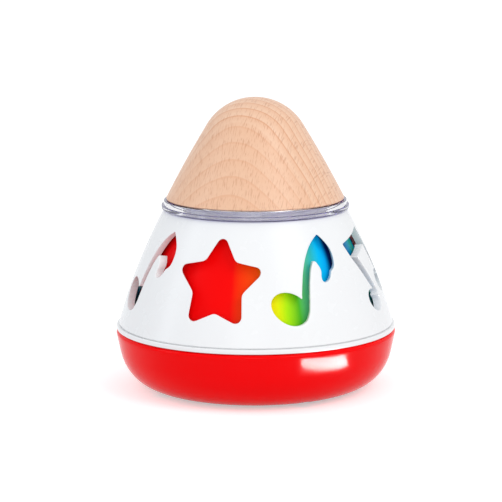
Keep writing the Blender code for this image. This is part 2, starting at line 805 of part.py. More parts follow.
def build_trim_ring(finishes):
    """Make the white ring between bowl and shell, with ears round the shell's screw bosses."""
    profile = [
        (FOOT_FLANGE_MOUTH, trim_top),
        (TRIM_RADIUS - TRIM_ROUND, trim_top),
        (TRIM_RADIUS, trim_top - TRIM_ROUND),
        (TRIM_RADIUS, trim_bottom + TRIM_ROUND),
        (TRIM_RADIUS - TRIM_ROUND, trim_bottom),
        (FOOT_FLANGE_MOUTH, trim_bottom),
    ]
    ring = as_part(turned("trim_ring", profile), finishes["white_plastic"])
    hole = bore(SHELL_BOSS_RADIUS + SEAT_GAP)
    for i, place in enumerate(base_screw_places, 1):
        join_ear(ring, f"trim_ear_{i}", trim_bottom, trim_top, place)
        cut(ring, cylinder(f"trim_hole_{i}", hole, post_top, shell_top, place))


def star_outline():
    """Return a plump five-pointed star with rounded tips, middle at the origin."""
    corners = []
    radii = []
    for i in range(STAR_POINTS):
        for share, radius, fillet in (
            (0.0, STAR_TIP_RADIUS, STAR_TIP_ROUND),
            (0.5, STAR_NOTCH_RADIUS, STAR_NOTCH_ROUND),
        ):
            angle = math.pi / 2 + math.tau * (i + share) / STAR_POINTS
            corners.append((radius * math.cos(angle), STAR_RISE + radius * math.sin(angle)))
            radii.append(fillet)
    return rounded(corners, radii)


def window_tool(name, outline, azimuth, corners=None):
    """Return a cutter for one shape of a window that faces outwards at an azimuth from -Y."""
    inner = SHELL_TOP_RADIUS - SHELL_WALL - WINDOW_OVERCUT
    outer = SHELL_FOOT_RADIUS + WINDOW_OVERCUT
    drawn = [(x, y * window_stretch) for x, y in outline]
    tool = prism(name, [drawn], inner, outer, corners)
    angle = math.radians(azimuth)
    middle = (inner + outer) / 2
    tool.location = (middle * math.sin(angle), -middle * math.cos(angle), window_middle)
    tool.rotation_euler = (math.pi / 2, 0.0, angle)
    return tool


def cut_windows(shell):
    """Cut the eight windows: stars fore and aft, double notes at the sides, notes between."""
    note_head = ellipse_outline(
        NOTE_HEAD_HALF_LENGTH, NOTE_HEAD_HALF_WIDTH, NOTE_HEAD_TILT, NOTE_HEAD_PLACE
    )
    for azimuth in STAR_AZIMUTHS:
        cut(shell, window_tool(f"star_{azimuth}", star_outline(), azimuth))
    for azimuth in NOTE_AZIMUTHS:
        cut(shell, window_tool(f"note_head_{azimuth}", note_head, azimuth))
        stem = window_tool(f"note_stem_{azimuth}", NOTE_STEM_OUTLINE, azimuth, NOTE_STEM_CORNERS)
        cut(shell, stem)
    for azimuth in DOUBLE_NOTE_AZIMUTHS:
        cut(shell, window_tool(f"beam_{azimuth}", BEAM_OUTLINE, azimuth))
        for i, place in enumerate(BEAM_HEAD_PLACES, 1):
            head = ellipse_outline(
                BEAM_HEAD_HALF_LENGTH, BEAM_HEAD_HALF_WIDTH, BEAM_HEAD_TILT, place
            )
            cut(shell, window_tool(f"beam_head_{azimuth}_{i}", head, azimuth))


def build_shell(finishes):
    """Make the white cone with its flanges, screw bosses and windows."""
    side_heights = spread(shell_top, shell_bottom + SHELL_FOOT_ROUND, SHELL_STEPS)
    inner_heights = spread(foot_flange_top, top_flange_bottom, SHELL_STEPS)
    profile = [
        (SHELL_MOUTH_RADIUS, shell_top),
        *[(shell_radius(z), z) for z in side_heights],
        (SHELL_FOOT_RADIUS - SHELL_FOOT_ROUND, shell_bottom),
        (FOOT_FLANGE_MOUTH, shell_bottom),
        (FOOT_FLANGE_MOUTH, foot_flange_top),
        *[(shell_radius(z) - SHELL_WALL, z) for z in inner_heights],
        (SHELL_MOUTH_RADIUS, top_flange_bottom),
    ]
    shell = as_part(turned("outer_shell", profile), finishes["white_plastic"])
    screw_tip = bowl_bottom + BASE_SCREW_SEAT - SEAT_GAP + BASE_SCREW_LENGTH
    for i, place in enumerate(base_screw_places, 1):
        boss_bottom = post_top + SEAT_GAP
        boss = cylinder(f"shell_boss_{i}", SHELL_BOSS_RADIUS, boss_bottom, foot_flange_top, place)
        join(shell, boss)
        join_ear(shell, f"shell_ear_{i}", shell_bottom, foot_flange_top, place)
        pilot = cylinder(
            f"boss_pilot_{i}", shank_hole, boss_bottom - BOWL_WALL, screw_tip + SEAT_GAP, place
        )
        cut(shell, pilot)
    cut_windows(shell)


def build_drum(finishes, rotor):
    """Make the printed cone that turns behind the windows, with a flange for the turntable."""
    heights = spread(disc_top, drum_bottom, SHELL_STEPS)
    profile = [
        *[(drum_radius(z), z) for z in heights],
        *[(drum_radius(z) - DRUM_WALL, z) for z in spread(drum_bottom, drum_flange_bottom, SHELL_STEPS)],
        (DRUM_EYE_RADIUS, drum_flange_bottom),
        (DRUM_EYE_RADIUS, drum_flange_top),
        (drum_radius(drum_flange_top) - DRUM_WALL, drum_flange_top),
        (drum_radius(disc_top) - DRUM_WALL, disc_top),
    ]
    drum = as_part(turned("rainbow_drum", profile), finishes["rainbow_plastic"], rotor)
    for i, place in enumerate(top_screw_places, 1):
        hole = cylinder(f"drum_hole_{i}", shank_hole, drum_bottom, disc_top, place)
        cut(drum, hole, rotor)


def build_turntable(finishes, rotor):
    """Make the lilac carrier: a disc trapped under the shell, a wall above it and a hub below."""
    disc_radius = drum_radius(disc_top) - DRUM_WALL - SEAT_GAP
    wall_inside = turntable_boss_radius - TURNTABLE_WALL
    hub_bottom = disc_bottom - HUB_DROP
    eye = bore(shaft_hole, MIDDLE_FACETS)
    profile = [
        (eye, collar_top),
        (HUB_RADIUS, collar_top),
        (HUB_RADIUS, disc_top),
        (wall_inside, disc_top),
        (wall_inside, collar_top),
        (turntable_boss_radius, collar_top),
        (turntable_boss_radius, disc_top),
        (disc_radius, disc_top),
        (disc_radius, disc_bottom),
        (HUB_RADIUS, disc_bottom),
        (HUB_RADIUS, hub_bottom),
        (eye, hub_bottom),
    ]
    turntable = as_part(
        turned("turntable", profile, MIDDLE_FACETS), finishes["lilac_plastic"], rotor
    )
    screw_length = wood_bottom + TOP_SCREW_BITE - drum_flange_bottom + SEAT_GAP
    for i, place in enumerate(top_screw_places, 1):
        column = cylinder(
            f"turntable_column_{i}", TOP_COLUMN_RADIUS, disc_bottom + SEAT_GAP, collar_top, place
        )
        join(turntable, column, rotor)
        hole = cylinder(f"turntable_hole_{i}", shank_hole, drum_flange_bottom, wood_bottom, place)
        cut(turntable, hole, rotor)
        screw_fastener(
            f"top_screw_{i}",
            place,
            drum_flange_bottom,
            screw_length,
            finishes["zinc_steel"],
            up=True,
            parent=rotor,
        )

    screw_height = hub_bottom + HUB_DROP / 2
    tunnel = cylinder("set_screw_tunnel", SET_SCREW_RADIUS + SEAT_GAP, SHAFT_RADIUS / 2, 2 * HUB_RADIUS)
    grub = cylinder("set_screw", SET_SCREW_RADIUS, shaft_hole, HUB_RADIUS)
    for piece in (tunnel, grub):
        along = piece.location.z
        piece.location = (along, 0.0, screw_height)
        piece.rotation_euler = (0.0, math.pi / 2, 0.0)
    cut(turntable, tunnel, rotor)
    as_part(grub, finishes["zinc_steel"], rotor)


def build_collar(finishes, rotor):
    """Make the clear ring that sits between the shell and the wooden top."""
    inner = bore(turntable_boss_radius + SEAT_GAP, LARGE_FACETS)
    profile = [
        (inner, collar_top),
        (COLLAR_TOP_RADIUS - COLLAR_ROUND, collar_top),
        (COLLAR_TOP_RADIUS, collar_top - COLLAR_ROUND),
        (COLLAR_FOOT_RADIUS, collar_bottom + COLLAR_ROUND),
        (COLLAR_FOOT_RADIUS - COLLAR_ROUND, collar_bottom),
        (inner, collar_bottom),
    ]
    as_part(turned("clear_collar", profile), finishes["clear_plastic"], rotor)


def wood_profile():
    """Return the wooden top's profile: a dome, a nearly straight side and an eased lower edge."""
    dome_centre = wood_top - TOP_DOME_RADIUS
    drop = wood_bottom - dome_centre
    reach = math.hypot(TOP_RADIUS, drop)
    tangent = math.atan2(drop, TOP_RADIUS) + math.acos(TOP_DOME_RADIUS / reach)
    dome = [
        (TOP_DOME_RADIUS * math.cos(a), dome_centre + TOP_DOME_RADIUS * math.sin(a))
        for a in spread(math.pi / 2, tangent, TOP_STEPS)[1:]
    ]
    start = dome[-1]
    end = (TOP_RADIUS, wood_bottom + TOP_EDGE_ROUND)
    side = [
        (
            start[0] + (end[0] - start[0]) * share + bulge(TOP_BULGE, share),
            start[1] + (end[1] - start[1]) * share,
        )
        for share in spread(0.0, 1.0, TOP_STEPS)[1:]
    ]
    edge = (TOP_RADIUS - TOP_EDGE_ROUND, wood_bottom)
    return [(0.0, wood_top), *dome, *side, edge, (0.0, wood_bottom)]


def build_wooden_top(finishes, rotor):
    """Make the beech winding knob, bored for the shaft and the screws from below."""
    top = as_part(turned("wooden_top", wood_profile()), finishes["beech"], rotor)
    socket_top = wood_bottom + SHAFT_IN_TOP + SEAT_GAP
    socket_radius = bore(shaft_hole, MIDDLE_FACETS)
    socket = cylinder(
        "top_socket", socket_radius, collar_bottom, socket_top, facets=MIDDLE_FACETS
    )
    cut(top, socket, rotor)
    for i, place in enumerate(top_screw_places, 1):
        pilot_top = wood_bottom + TOP_SCREW_BITE + SEAT_GAP
        cut(top, cylinder(f"top_pilot_{i}", shank_hole, collar_bottom, pilot_top, place), rotor)


def build_shaft(finishes, rotor):
    """Make the winding shaft, which stands on the lower bush and ends in the wooden top."""
    shoulder = plate_top + 2 * SEAT_GAP + BUSH_FLANGE_THICKNESS
    shaft_top = wood_bottom + SHAFT_IN_TOP
    profile = [
        (0.0, shaft_top),
        (SHAFT_RADIUS, shaft_top),
        (SHAFT_RADIUS, shoulder),
        (SHAFT_JOURNAL_RADIUS, shoulder),
        (SHAFT_JOURNAL_RADIUS, plate_bottom - SHAFT_TAIL),
        (0.0, plate_bottom - SHAFT_TAIL),
    ]
    as_part(turned("winding_shaft", profile, MIDDLE_FACETS), finishes["bright_steel"], rotor)


def build_plate(finishes):
    """Make the cast movement plate with the comb's pedestal, its screws and its bush."""
    plate = cylinder(
        "movement_plate", plate_radius, plate_bottom, plate_top, facets=LARGE_FACETS
    )
    as_part(plate, finishes["cast_zinc"])
    pedestal = block(
        "comb_pedestal",
        (cylinder_start, comb_back, (plate_bottom + plate_top) / 2),
        (cylinder_end, comb_root - SEAT_GAP, comb_bottom - SEAT_GAP),
    )
    join(plate, pedestal)
    bush_hole = bore(SHAFT_JOURNAL_RADIUS + BEARING_GAP + BUSH_WALL + SEAT_GAP, MIDDLE_FACETS)
    eye = cylinder("plate_eye", bush_hole, bowl_floor, housing_top, facets=MIDDLE_FACETS)
    cut(plate, eye)
    notch_radius = bore(BASE_POST_RADIUS + SEAT_GAP)
    for i, place in enumerate(base_screw_places, 1):
        cut(plate, cylinder(f"plate_notch_{i}", notch_radius, bowl_floor, housing_top, place))
    for i, place in enumerate(plate_screw_places, 1):
        cut(plate, cylinder(f"plate_hole_{i}", shank_hole, bowl_floor, housing_top, place))
        screw_fastener(
            f"movement_screw_{i}", place, plate_top, PLATE_SCREW_LENGTH, finishes["zinc_steel"]
        )
    flanged_bush(
        "plate_bush",
        plate_top,
        PLATE_THICKNESS,
        SHAFT_JOURNAL_RADIUS + BEARING_GAP,
        finishes["brass"],
    )
    return plate


def build_mainspring(finishes):
    """Make the spring's round housing, its cover and the spiral strip inside."""
    inside = HOUSING_RADIUS - HOUSING_WALL
    floor = housing_bottom + HOUSING_WALL
    profile = [
        (HOUSING_EYE_RADIUS, floor),
        (inside, floor),
        (inside, housing_top),
        (HOUSING_RADIUS, housing_top),
        (HOUSING_RADIUS, housing_bottom),
        (HOUSING_EYE_RADIUS, housing_bottom),
    ]
    as_part(turned("spring_housing", profile, MIDDLE_FACETS), finishes["brushed_steel"])
    cover = [
        circle_outline(HOUSING_RADIUS, facets=MIDDLE_FACETS),
        circle_outline(HOUSING_EYE_RADIUS, facets=MIDDLE_FACETS),
    ]
    as_part(prism("spring_cover", cover, cover_bottom, cover_top), finishes["brushed_steel"])

    first = SHAFT_RADIUS + SEAT_GAP + SPRING_STRIP / 2
    last = inside * math.cos(math.pi / MIDDLE_FACETS) - SEAT_GAP - SPRING_STRIP / 2
    count = SPRING_TURNS * SPRING_POINTS_A_TURN
    outer_edge = []
    inner_edge = []
    for i in range(count + 1):
        angle = math.tau * i / SPRING_POINTS_A_TURN
        radius = first + (last - first) * i / count
        for edge, offset in ((outer_edge, SPRING_STRIP / 2), (inner_edge, -SPRING_STRIP / 2)):
            edge.append(((radius + offset) * math.cos(angle), (radius + offset) * math.sin(angle)))
    strip = prism(
        "mainspring",
        [outer_edge + inner_edge[::-1]],
        floor + SEAT_GAP,
        housing_top - SEAT_GAP,
    )
    as_part(strip, finishes["blued_steel"])


def build_bridge(finishes):
    """Make the bridge, on two pillars, that steadies the winding shaft above the click."""
    reach, half_spread = PILLAR_PLACE
    corners = [
        (BRIDGE_NOSE, -BRIDGE_NOSE_HALF_WIDTH),
        (BRIDGE_NOSE, BRIDGE_NOSE_HALF_WIDTH),
        (reach - BRIDGE_EDGE, half_spread + BRIDGE_EDGE),
        (reach - BRIDGE_EDGE, -half_spread - BRIDGE_EDGE),
    ]
    barrel = SHAFT_RADIUS + BEARING_GAP + BUSH_WALL
    bush_hole = circle_outline(bore(barrel + SEAT_GAP, MIDDLE_FACETS), facets=MIDDLE_FACETS)
    places = [(reach, -half_spread), (reach, half_spread)]
    screw_holes = [circle_outline(shank_hole, place) for place in places]
    outline = rounded(corners, [BRIDGE_CORNER_ROUND] * len(corners))
    bridge = prism("shaft_bridge", [outline, bush_hole, *screw_holes], bridge_bottom, bridge_top)
    as_part(bridge, finishes["brass"])
    flanged_bush(
        "bridge_bush", bridge_top, BRIDGE_THICKNESS, SHAFT_RADIUS + BEARING_GAP, finishes["bronze"]
    )
    pillar_top = bridge_bottom - SEAT_GAP
    for i, place in enumerate(places, 1):
        pillar = cylinder(f"bridge_pillar_{i}", PILLAR_RADIUS, plate_top + SEAT_GAP, pillar_top, place)
        as_part(pillar, finishes["brass"])
        pilot_bottom = bridge_top - BRIDGE_SCREW_LENGTH - SEAT_GAP
        cut(pillar, cylinder(f"pillar_pilot_{i}", shank_hole, pilot_bottom, bridge_top, place))
        screw_fastener(
            f"bridge_screw_{i}", place, bridge_top, BRIDGE_SCREW_LENGTH, finishes["zinc_steel"]
        )


def crown_wheel():
    """Return the great wheel: a dished disc whose upright teeth are raised from its rim's facets."""
    facets = 2 * GREAT_TEETH
    eye = bore(SHAFT_RADIUS + BEARING_GAP, facets)
    profile = [
        (eye, great_disc_top),
        (crown_inside, great_disc_top),
        (crown_inside, great_rim_top),
        (crown_outside, great_rim_top),
        (crown_outside, great_bottom),
        (eye, great_bottom),
    ]
    mesh = mesh_of(turned("great_wheel", profile, facets), "great_wheel")
    shape = bmesh.new()
    shape.from_mesh(mesh)
    step = math.tau / facets
    raised = []
    for face in shape.faces:
        middle = face.calc_center_median()
        number = math.floor(math.atan2(middle.y, middle.x) / step)
        on_rim = min(corner.co.z for corner in face.verts) > great_rim_top - WELD_DISTANCE
        if on_rim and number % 2 == 0:
            raised.append(face)
    for face in bmesh.ops.extrude_discrete_faces(shape, faces=raised)["faces"]:
        centre = face.calc_center_median()
        middle = math.atan2(centre.y, centre.x)
        for corner in face.verts:
            angle = math.atan2(corner.co.y, corner.co.x)
            angle = middle + math.remainder(angle - middle, math.tau) * CROWN_TIP_SHARE
            radius = math.hypot(corner.co.x, corner.co.y)
            corner.co = (radius * math.cos(angle), radius * math.sin(angle), crown_tooth_top)
    for corner in shape.verts:
        angle = math.atan2(corner.co.y, corner.co.x) - step / 2
        radius = math.hypot(corner.co.x, corner.co.y)
        corner.co.x = radius * math.cos(angle)
        corner.co.y = radius * math.sin(angle)
    shape.to_mesh(mesh)
    shape.free()
    return bpy.data.objects.new("great_wheel", mesh)


def build_click(finishes, rotor, great, pawl_axis):
    """Make the ratchet on the shaft, and the great wheel with its pawl and leaf spring."""
    teeth = []
    for i in range(RATCHET_TEETH):
        for share, radius in ((0.0, RATCHET_RADIUS - RATCHET_TOOTH), (1.0, RATCHET_RADIUS)):
            angle = math.tau * (i + share) / RATCHET_TEETH
            teeth.append((radius * math.cos(angle), radius * math.sin(angle)))
    eye = circle_outline(bore(shaft_hole, MIDDLE_FACETS), facets=MIDDLE_FACETS)
    ratchet = prism("ratchet_wheel", [teeth, eye], click_bottom, click_top)
    as_part(ratchet, finishes["bright_steel"], rotor)

    wheel = as_part(crown_wheel(), finishes["brass"], great)
    disc_middle = great_bottom + GREAT_DISC / 2
    pin = cylinder("pawl_pin", PAWL_PIN_RADIUS, disc_middle, click_top, (pawl_x, pawl_y))
    join(wheel, pin, great)

    nose_inner = -(RATCHET_RADIUS - RATCHET_TOOTH + SEAT_GAP) - pawl_x
    nose_outer = nose_inner - PAWL_HEAD
    bar_inner = nose_outer + PAWL_WIDTH
    nose_end = -SEAT_GAP - pawl_y
    outline = [
        (nose_inner, nose_end),
        (nose_outer, nose_end),
        (nose_outer, nose_end - PAWL_HEAD),
        (-PAWL_EYE_RADIUS, 0.0),
        (0.0, -PAWL_EYE_RADIUS),
        (PAWL_EYE_RADIUS, 0.0),
        (bar_inner, nose_end - PAWL_HEAD),
    ]
    eye = circle_outline(bore(PAWL_PIN_RADIUS + BEARING_GAP))
    pawl = prism("click_pawl", [outline, eye], click_bottom, click_top)
    as_part(pawl, finishes["bright_steel"], pawl_axis)

    leaf_inner = pawl_x + nose_outer - SEAT_GAP
    leaf_outer = leaf_inner - CLICK_SPRING_STRIP
    leaf_start = pawl_y + nose_end - PAWL_HEAD
    leaf_end = leaf_start + CLICK_SPRING_LENGTH
    leaf = block(
        "click_spring", (leaf_outer, leaf_start, click_bottom), (leaf_inner, leaf_end, click_top)
    )
    as_part(leaf, finishes["blued_steel"], great)
    post_middle = (leaf_inner + leaf_outer) / 2
    post = block(
        "click_post",
        (post_middle - CLICK_POST_SIZE / 2, leaf_end + SEAT_GAP, disc_middle),
        (post_middle + CLICK_POST_SIZE / 2, leaf_end + SEAT_GAP + CLICK_POST_SIZE, click_top),
    )
    join(wheel, post, great)


def pinned_cylinder():
    """Return the tune cylinder, its pins raised from facets that a seeded draw picks."""
    eye = bore(ARBOR_RADIUS + SEAT_GAP, CYLINDER_COLUMNS)
    profile = [
        (eye, cylinder_end),
        *[(CYLINDER_RADIUS, z) for z in spread(cylinder_end, cylinder_start, CYLINDER_ROWS)],
        (eye, cylinder_start),
    ]
    mesh = mesh_of(turned("pinned_cylinder", profile, CYLINDER_COLUMNS), "pinned_cylinder")
    shape = bmesh.new()
    shape.from_mesh(mesh)
    draw = random.Random(PIN_SEED)
    skin = [
        face
        for face in shape.faces
        if min(corner.co.xy.length for corner in face.verts) > CYLINDER_RADIUS - WELD_DISTANCE
    ]
    skin.sort(key=lambda face: tuple(round(c, 6) for c in face.calc_center_median()))
    raised = [face for face in skin if draw.random() < PIN_SHARE]
    for face in bmesh.ops.extrude_discrete_faces(shape, faces=raised)["faces"]:
        middle = face.calc_center_median()
        lift = face.normal * PIN_HEIGHT
        for corner in face.verts:
            corner.co = middle + (corner.co - middle) * PIN_SCALE + lift
    shape.to_mesh(mesh)
    shape.free()
    return bpy.data.objects.new("pinned_cylinder", mesh)


def gear(name, teeth, module, start, end, gap_first=False):
    """Return a gear along its axis, bored for an arbor."""
    eye = circle_outline(bore(ARBOR_RADIUS + SEAT_GAP))
    return prism(name, [gear_outline(teeth, module, gap_first), eye], start, end)


def build_cylinder(finishes, axis):
    """Make the pinned cylinder's arbor with its pinion and wheel."""
    arbor = cylinder("cylinder_arbor", ARBOR_RADIUS, arbor_start, arbor_end)
    as_part(arbor, finishes["bright_steel"], axis)
    pinion = gear("cylinder_pinion", PINION_TEETH, pinion_module, crown_inside, crown_outside, True)
    as_part(pinion, finishes["brass"], axis)
    as_part(pinned_cylinder(), finishes["brass"], axis)
    wheel = gear("cylinder_wheel", WHEEL_TEETH, WHEEL_MODULE, wheel_start, wheel_end)
    as_part(wheel, finishes["brass"], axis)


def build_idler(finishes, axis):
    """Make the idler: a small pinion and the worm wheel on one arbor."""
    arbor = cylinder("idler_arbor", ARBOR_RADIUS, idler_start, arbor_end)
    as_part(arbor, finishes["bright_steel"], axis)
    pinion = gear("idler_pinion", IDLER_TEETH, WHEEL_MODULE, wheel_start, wheel_end)
    as_part(pinion, finishes["brass"], axis)
    half = WHEEL_THICKNESS / 2
    wheel = gear(
        "worm_wheel",
        WORM_WHEEL_TEETH,
        WORM_MODULE,
        governor_along - half,
        governor_along + half,
        True,
    )
    as_part(wheel, finishes["white_acetal"], axis)


def build_comb(finishes, plate):
    """Make the steel comb whose teeth end just short of the pins, and its screws."""
    pitch = CYLINDER_LENGTH / CYLINDER_ROWS
    tooth = pitch * COMB_TOOTH_SHARE
    outline = [(cylinder_start, comb_back)]
    for i in range(CYLINDER_ROWS):
        left = cylinder_start + pitch * i + (pitch - tooth) / 2
        for x, y in (
            (left, comb_root),
            (left, comb_tip),
            (left + tooth, comb_tip),
            (left + tooth, comb_root),
        ):
            outline.append((x, y))
    outline.append((cylinder_end, comb_back))
    middle = (comb_root + comb_back) / 2
    places = [
        (cylinder_start + COMB_SCREW_INSET, middle),
        (cylinder_end - COMB_SCREW_INSET, middle),
    ]
    holes = [circle_outline(shank_hole, place) for place in places]
    as_part(prism("comb", [outline, *holes], comb_bottom, comb_top), finishes["bright_steel"])
    for i, place in enumerate(places, 1):
        pilot_bottom = comb_top - COMB_SCREW_LENGTH - SEAT_GAP
        cut(plate, cylinder(f"comb_pilot_{i}", shank_hole, pilot_bottom, comb_top, place))
        screw_fastener(f"comb_screw_{i}", place, comb_top, COMB_SCREW_LENGTH, finishes["zinc_steel"])


def arbor_bracket(name, start, foot_way, finishes, plate, number):
    """Make an upright bracket across the train that carries both arbors, with a screwed foot."""
    end = start + BRACKET_THICKNESS
    low = plate_top + SEAT_GAP
    upright = block(
        name,
        (start, -BRACKET_MARGIN, low),
        (end, idler_place + BRACKET_MARGIN, train_height + BRACKET_MARGIN),
    )
    as_part(upright, finishes["cast_zinc"])
    foot_from = end - SEAT_GAP if foot_way > 0 else start - BRACKET_FOOT
    foot_to = end + BRACKET_FOOT if foot_way > 0 else start + SEAT_GAP
    foot_top = low + BRACKET_THICKNESS
    foot = block(
        f"{name}_foot",
        (foot_from, -BRACKET_MARGIN, low),
        (foot_to, -BRACKET_MARGIN + BRACKET_FOOT_WIDTH, foot_top),
    )
    join(upright, foot)
    for i, across in enumerate((0.0, idler_place), 1):
        hole = cylinder(
            f"{name}_bearing_{i}", bore(ARBOR_RADIUS + BEARING_GAP), start - SEAT_GAP, end + SEAT_GAP
        )
        hole.location = ((start + end) / 2, across, train_height)
        hole.rotation_euler = (0.0, math.pi / 2, 0.0)
        cut(upright, hole)
    middle = end + BRACKET_FOOT / 2 if foot_way > 0 else start - BRACKET_FOOT / 2
    place = (middle, -BRACKET_MARGIN + BRACKET_FOOT_WIDTH / 2)
    fasten_foot(upright, plate, place, foot_top, number, finishes)


def fasten_foot(bracket, plate, place, foot_top, number, finishes):
    """Bore a bracket's foot and the plate under it, and put a screw through both."""
    tip = foot_top - BRACKET_SCREW_LENGTH - SEAT_GAP
    for target, label in ((bracket, "foot_hole"), (plate, "foot_pilot")):
        cut(target, cylinder(f"{label}_{number}", shank_hole, tip, foot_top + SEAT_GAP, place))
    screw_fastener(
        f"bracket_screw_{number}", place, foot_top, BRACKET_SCREW_LENGTH, finishes["zinc_steel"]
    )


def build_governor(finishes, plate, axis):
    """Make the worm spindle with its fan, and the bracket that holds it upright."""
    low = plate_top + SEAT_GAP
    left = governor_along - GOVERNOR_WIDTH / 2
    right = governor_along + GOVERNOR_WIDTH / 2
    back = governor_place + GOVERNOR_ARM_REACH
    front = governor_place - SCREW_HEAD_RADIUS
    bracket = block(
        "governor_bracket", (left, back, low), (right, back + BRACKET_THICKNESS, upper_arm_top)
    )
    as_part(bracket, finishes["cast_zinc"])
    for name, bottom in (
        ("governor_foot", low),
        ("governor_lower_arm", lower_arm_bottom),
        ("governor_upper_arm", upper_arm_bottom),
    ):
        arm = block(
            name, (left, front, bottom), (right, back + SEAT_GAP, bottom + BRACKET_THICKNESS)
        )
        join(bracket, arm)
    place = (governor_along, governor_place)
    hole = bore(SPINDLE_RADIUS + BEARING_GAP)
    cut(
        bracket,
        cylinder("governor_bearings", hole, lower_arm_bottom - SEAT_GAP, upper_arm_top + SEAT_GAP, place),
    )
    foot_place = (governor_along, back - SCREW_HEAD_RADIUS - SEAT_GAP)
    fasten_foot(bracket, plate, foot_place, low + BRACKET_THICKNESS, 3, finishes)

    spindle = cylinder("governor_worm", SPINDLE_RADIUS, lower_arm_bottom, fan_top)
    as_part(spindle, finishes["bright_steel"], axis)
    half = worm_lead * WORM_TURNS / 2 + WORM_THREAD_RADIUS
    core = cylinder("worm_core", worm_core_radius, train_height - half, train_height + half)
    join(spindle, core, axis)
    thread = bpy.data.curves.new("worm_thread", "CURVE")
    thread.dimensions = "3D"
    thread.bevel_depth = WORM_THREAD_RADIUS
    thread.bevel_resolution = 1
    thread.use_fill_caps = True
    spline = thread.splines.new("POLY")
    count = WORM_TURNS * WORM_POINTS_A_TURN
    spline.points.add(count)
    for i, point in enumerate(spline.points):
        turns = i / WORM_POINTS_A_TURN - WORM_TURNS / 2
        angle = math.tau * turns - math.pi / 2
        point.co = (
            worm_thread_circle * math.cos(angle),
            worm_thread_circle * math.sin(angle),
            train_height + worm_lead * turns,
            1.0,
        )
    mesh = mesh_of(bpy.data.objects.new("worm_thread", thread), "worm_thread")
    join(spindle, bpy.data.objects.new("worm_thread", mesh), axis)

    fan_eye = bore(SPINDLE_RADIUS + SEAT_GAP)
    fan = as_part(
        prism(
            "governor_fan",
            [circle_outline(FAN_HUB_RADIUS), circle_outline(fan_eye)],
            fan_bottom,
            fan_top,
        ),
        finishes["black_plastic"],
        axis,
    )
    for name, inner, outer in (
        ("fan_vane_left", -FAN_SPAN / 2, -(fan_eye + SEAT_GAP)),
        ("fan_vane_right", fan_eye + SEAT_GAP, FAN_SPAN / 2),
    ):
        vane = block(name, (inner, -FAN_VANE / 2, fan_bottom), (outer, FAN_VANE / 2, fan_top))
        join(fan, vane, axis)


def make_finishes():
    """Return the toy's materials by name."""
    return {name: finish(name, *values) for name, values in FINISHES.items()}


def main():
    """Build the toy: what stands still, what the top turns, and the train that it drives."""
    clear_scene()
    finishes = make_finishes()
    rotor = axis_empty("rotor_axis", (0.0, 0.0, 0.0))
    great = axis_empty("great_wheel_axis", (0.0, 0.0, 0.0))
    pawl_axis = axis_empty("pawl_axis", (pawl_x, pawl_y, 0.0))
    cylinder_axis = axis_empty("cylinder_axis", (0.0, 0.0, train_height), along_x=True)
    idler_axis = axis_empty("idler_axis", (0.0, idler_place, train_height), along_x=True)
    governor_axis = axis_empty("governor_axis", (governor_along, governor_place, 0.0))

    build_bowl(finishes)
    build_trim_ring(finishes)
    build_shell(finishes)
    plate = build_plate(finishes)
    build_mainspring(finishes)
    build_bridge(finishes)
    build_comb(finishes, plate)
    arbor_bracket("inner_bracket", inner_bracket_start, 1, finishes, plate, 1)
    arbor_bracket("outer_bracket", outer_bracket_start, -1, finishes, plate, 2)

    build_drum(finishes, rotor)
    build_turntable(finishes, rotor)
    build_collar(finishes, rotor)
    build_wooden_top(finishes, rotor)
    build_shaft(finishes, rotor)
    build_click(finishes, rotor, great, pawl_axis)
    build_cylinder(finishes, cylinder_axis)
    build_idler(finishes, idler_axis)
    build_governor(finishes, plate, governor_axis)


main()
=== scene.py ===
"""Looks of the rotating music box: fine outer pieces, finishes, studio light and camera.

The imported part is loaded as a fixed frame, in metres with +Z up. The outer pieces are drawn again
with finer curves and eased edges, and stand for their CAD nodes. The movement inside keeps its CAD
shapes, apart from one leaf spring, and gets its finishes here. Azimuths are in degrees from -Y,
towards +X.
"""

from __future__ import annotations

import json
import logging
import math
from collections.abc import Sequence
from dataclasses import dataclass, field
from enum import Enum

import bmesh
import bpy
import numpy as np
from mathutils import Euler, Matrix, Vector
from mathutils.geometry import delaunay_2d_cdt, interpolate_bezier


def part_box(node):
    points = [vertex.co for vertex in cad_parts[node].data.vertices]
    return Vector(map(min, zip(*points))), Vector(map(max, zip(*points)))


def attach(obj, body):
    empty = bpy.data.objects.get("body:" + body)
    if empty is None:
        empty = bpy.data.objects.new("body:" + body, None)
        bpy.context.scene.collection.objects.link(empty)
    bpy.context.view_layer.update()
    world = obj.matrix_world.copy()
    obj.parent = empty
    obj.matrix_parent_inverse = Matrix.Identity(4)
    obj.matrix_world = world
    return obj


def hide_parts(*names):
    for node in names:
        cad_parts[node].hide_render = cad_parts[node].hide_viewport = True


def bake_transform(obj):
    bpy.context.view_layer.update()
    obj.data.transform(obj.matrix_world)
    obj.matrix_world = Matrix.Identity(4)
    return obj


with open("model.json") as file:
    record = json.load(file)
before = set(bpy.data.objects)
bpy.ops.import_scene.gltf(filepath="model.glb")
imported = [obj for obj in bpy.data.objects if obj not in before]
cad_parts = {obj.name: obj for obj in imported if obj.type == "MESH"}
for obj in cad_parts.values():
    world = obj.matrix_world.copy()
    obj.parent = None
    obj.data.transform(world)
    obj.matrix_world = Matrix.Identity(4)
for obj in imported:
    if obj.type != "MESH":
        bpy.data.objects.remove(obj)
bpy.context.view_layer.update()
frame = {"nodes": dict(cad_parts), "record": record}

LOG = logging.getLogger("music_box")

# The photograph's width and height in pixels, the sensor that stands for it in millimetres, and
# the side that it was taken from.
PHOTO_PIXELS = 502
SENSOR_WIDTH = 36.0
CAMERA_AZIMUTH = 18.2

# Corners nearer than this are one corner.
WELD = 1e-6
# The angle in degrees above which an edge stays sharp.
CREASE = 32.0
# How many flats a post, a boss or a screw has.
SMALL_FACETS = 40
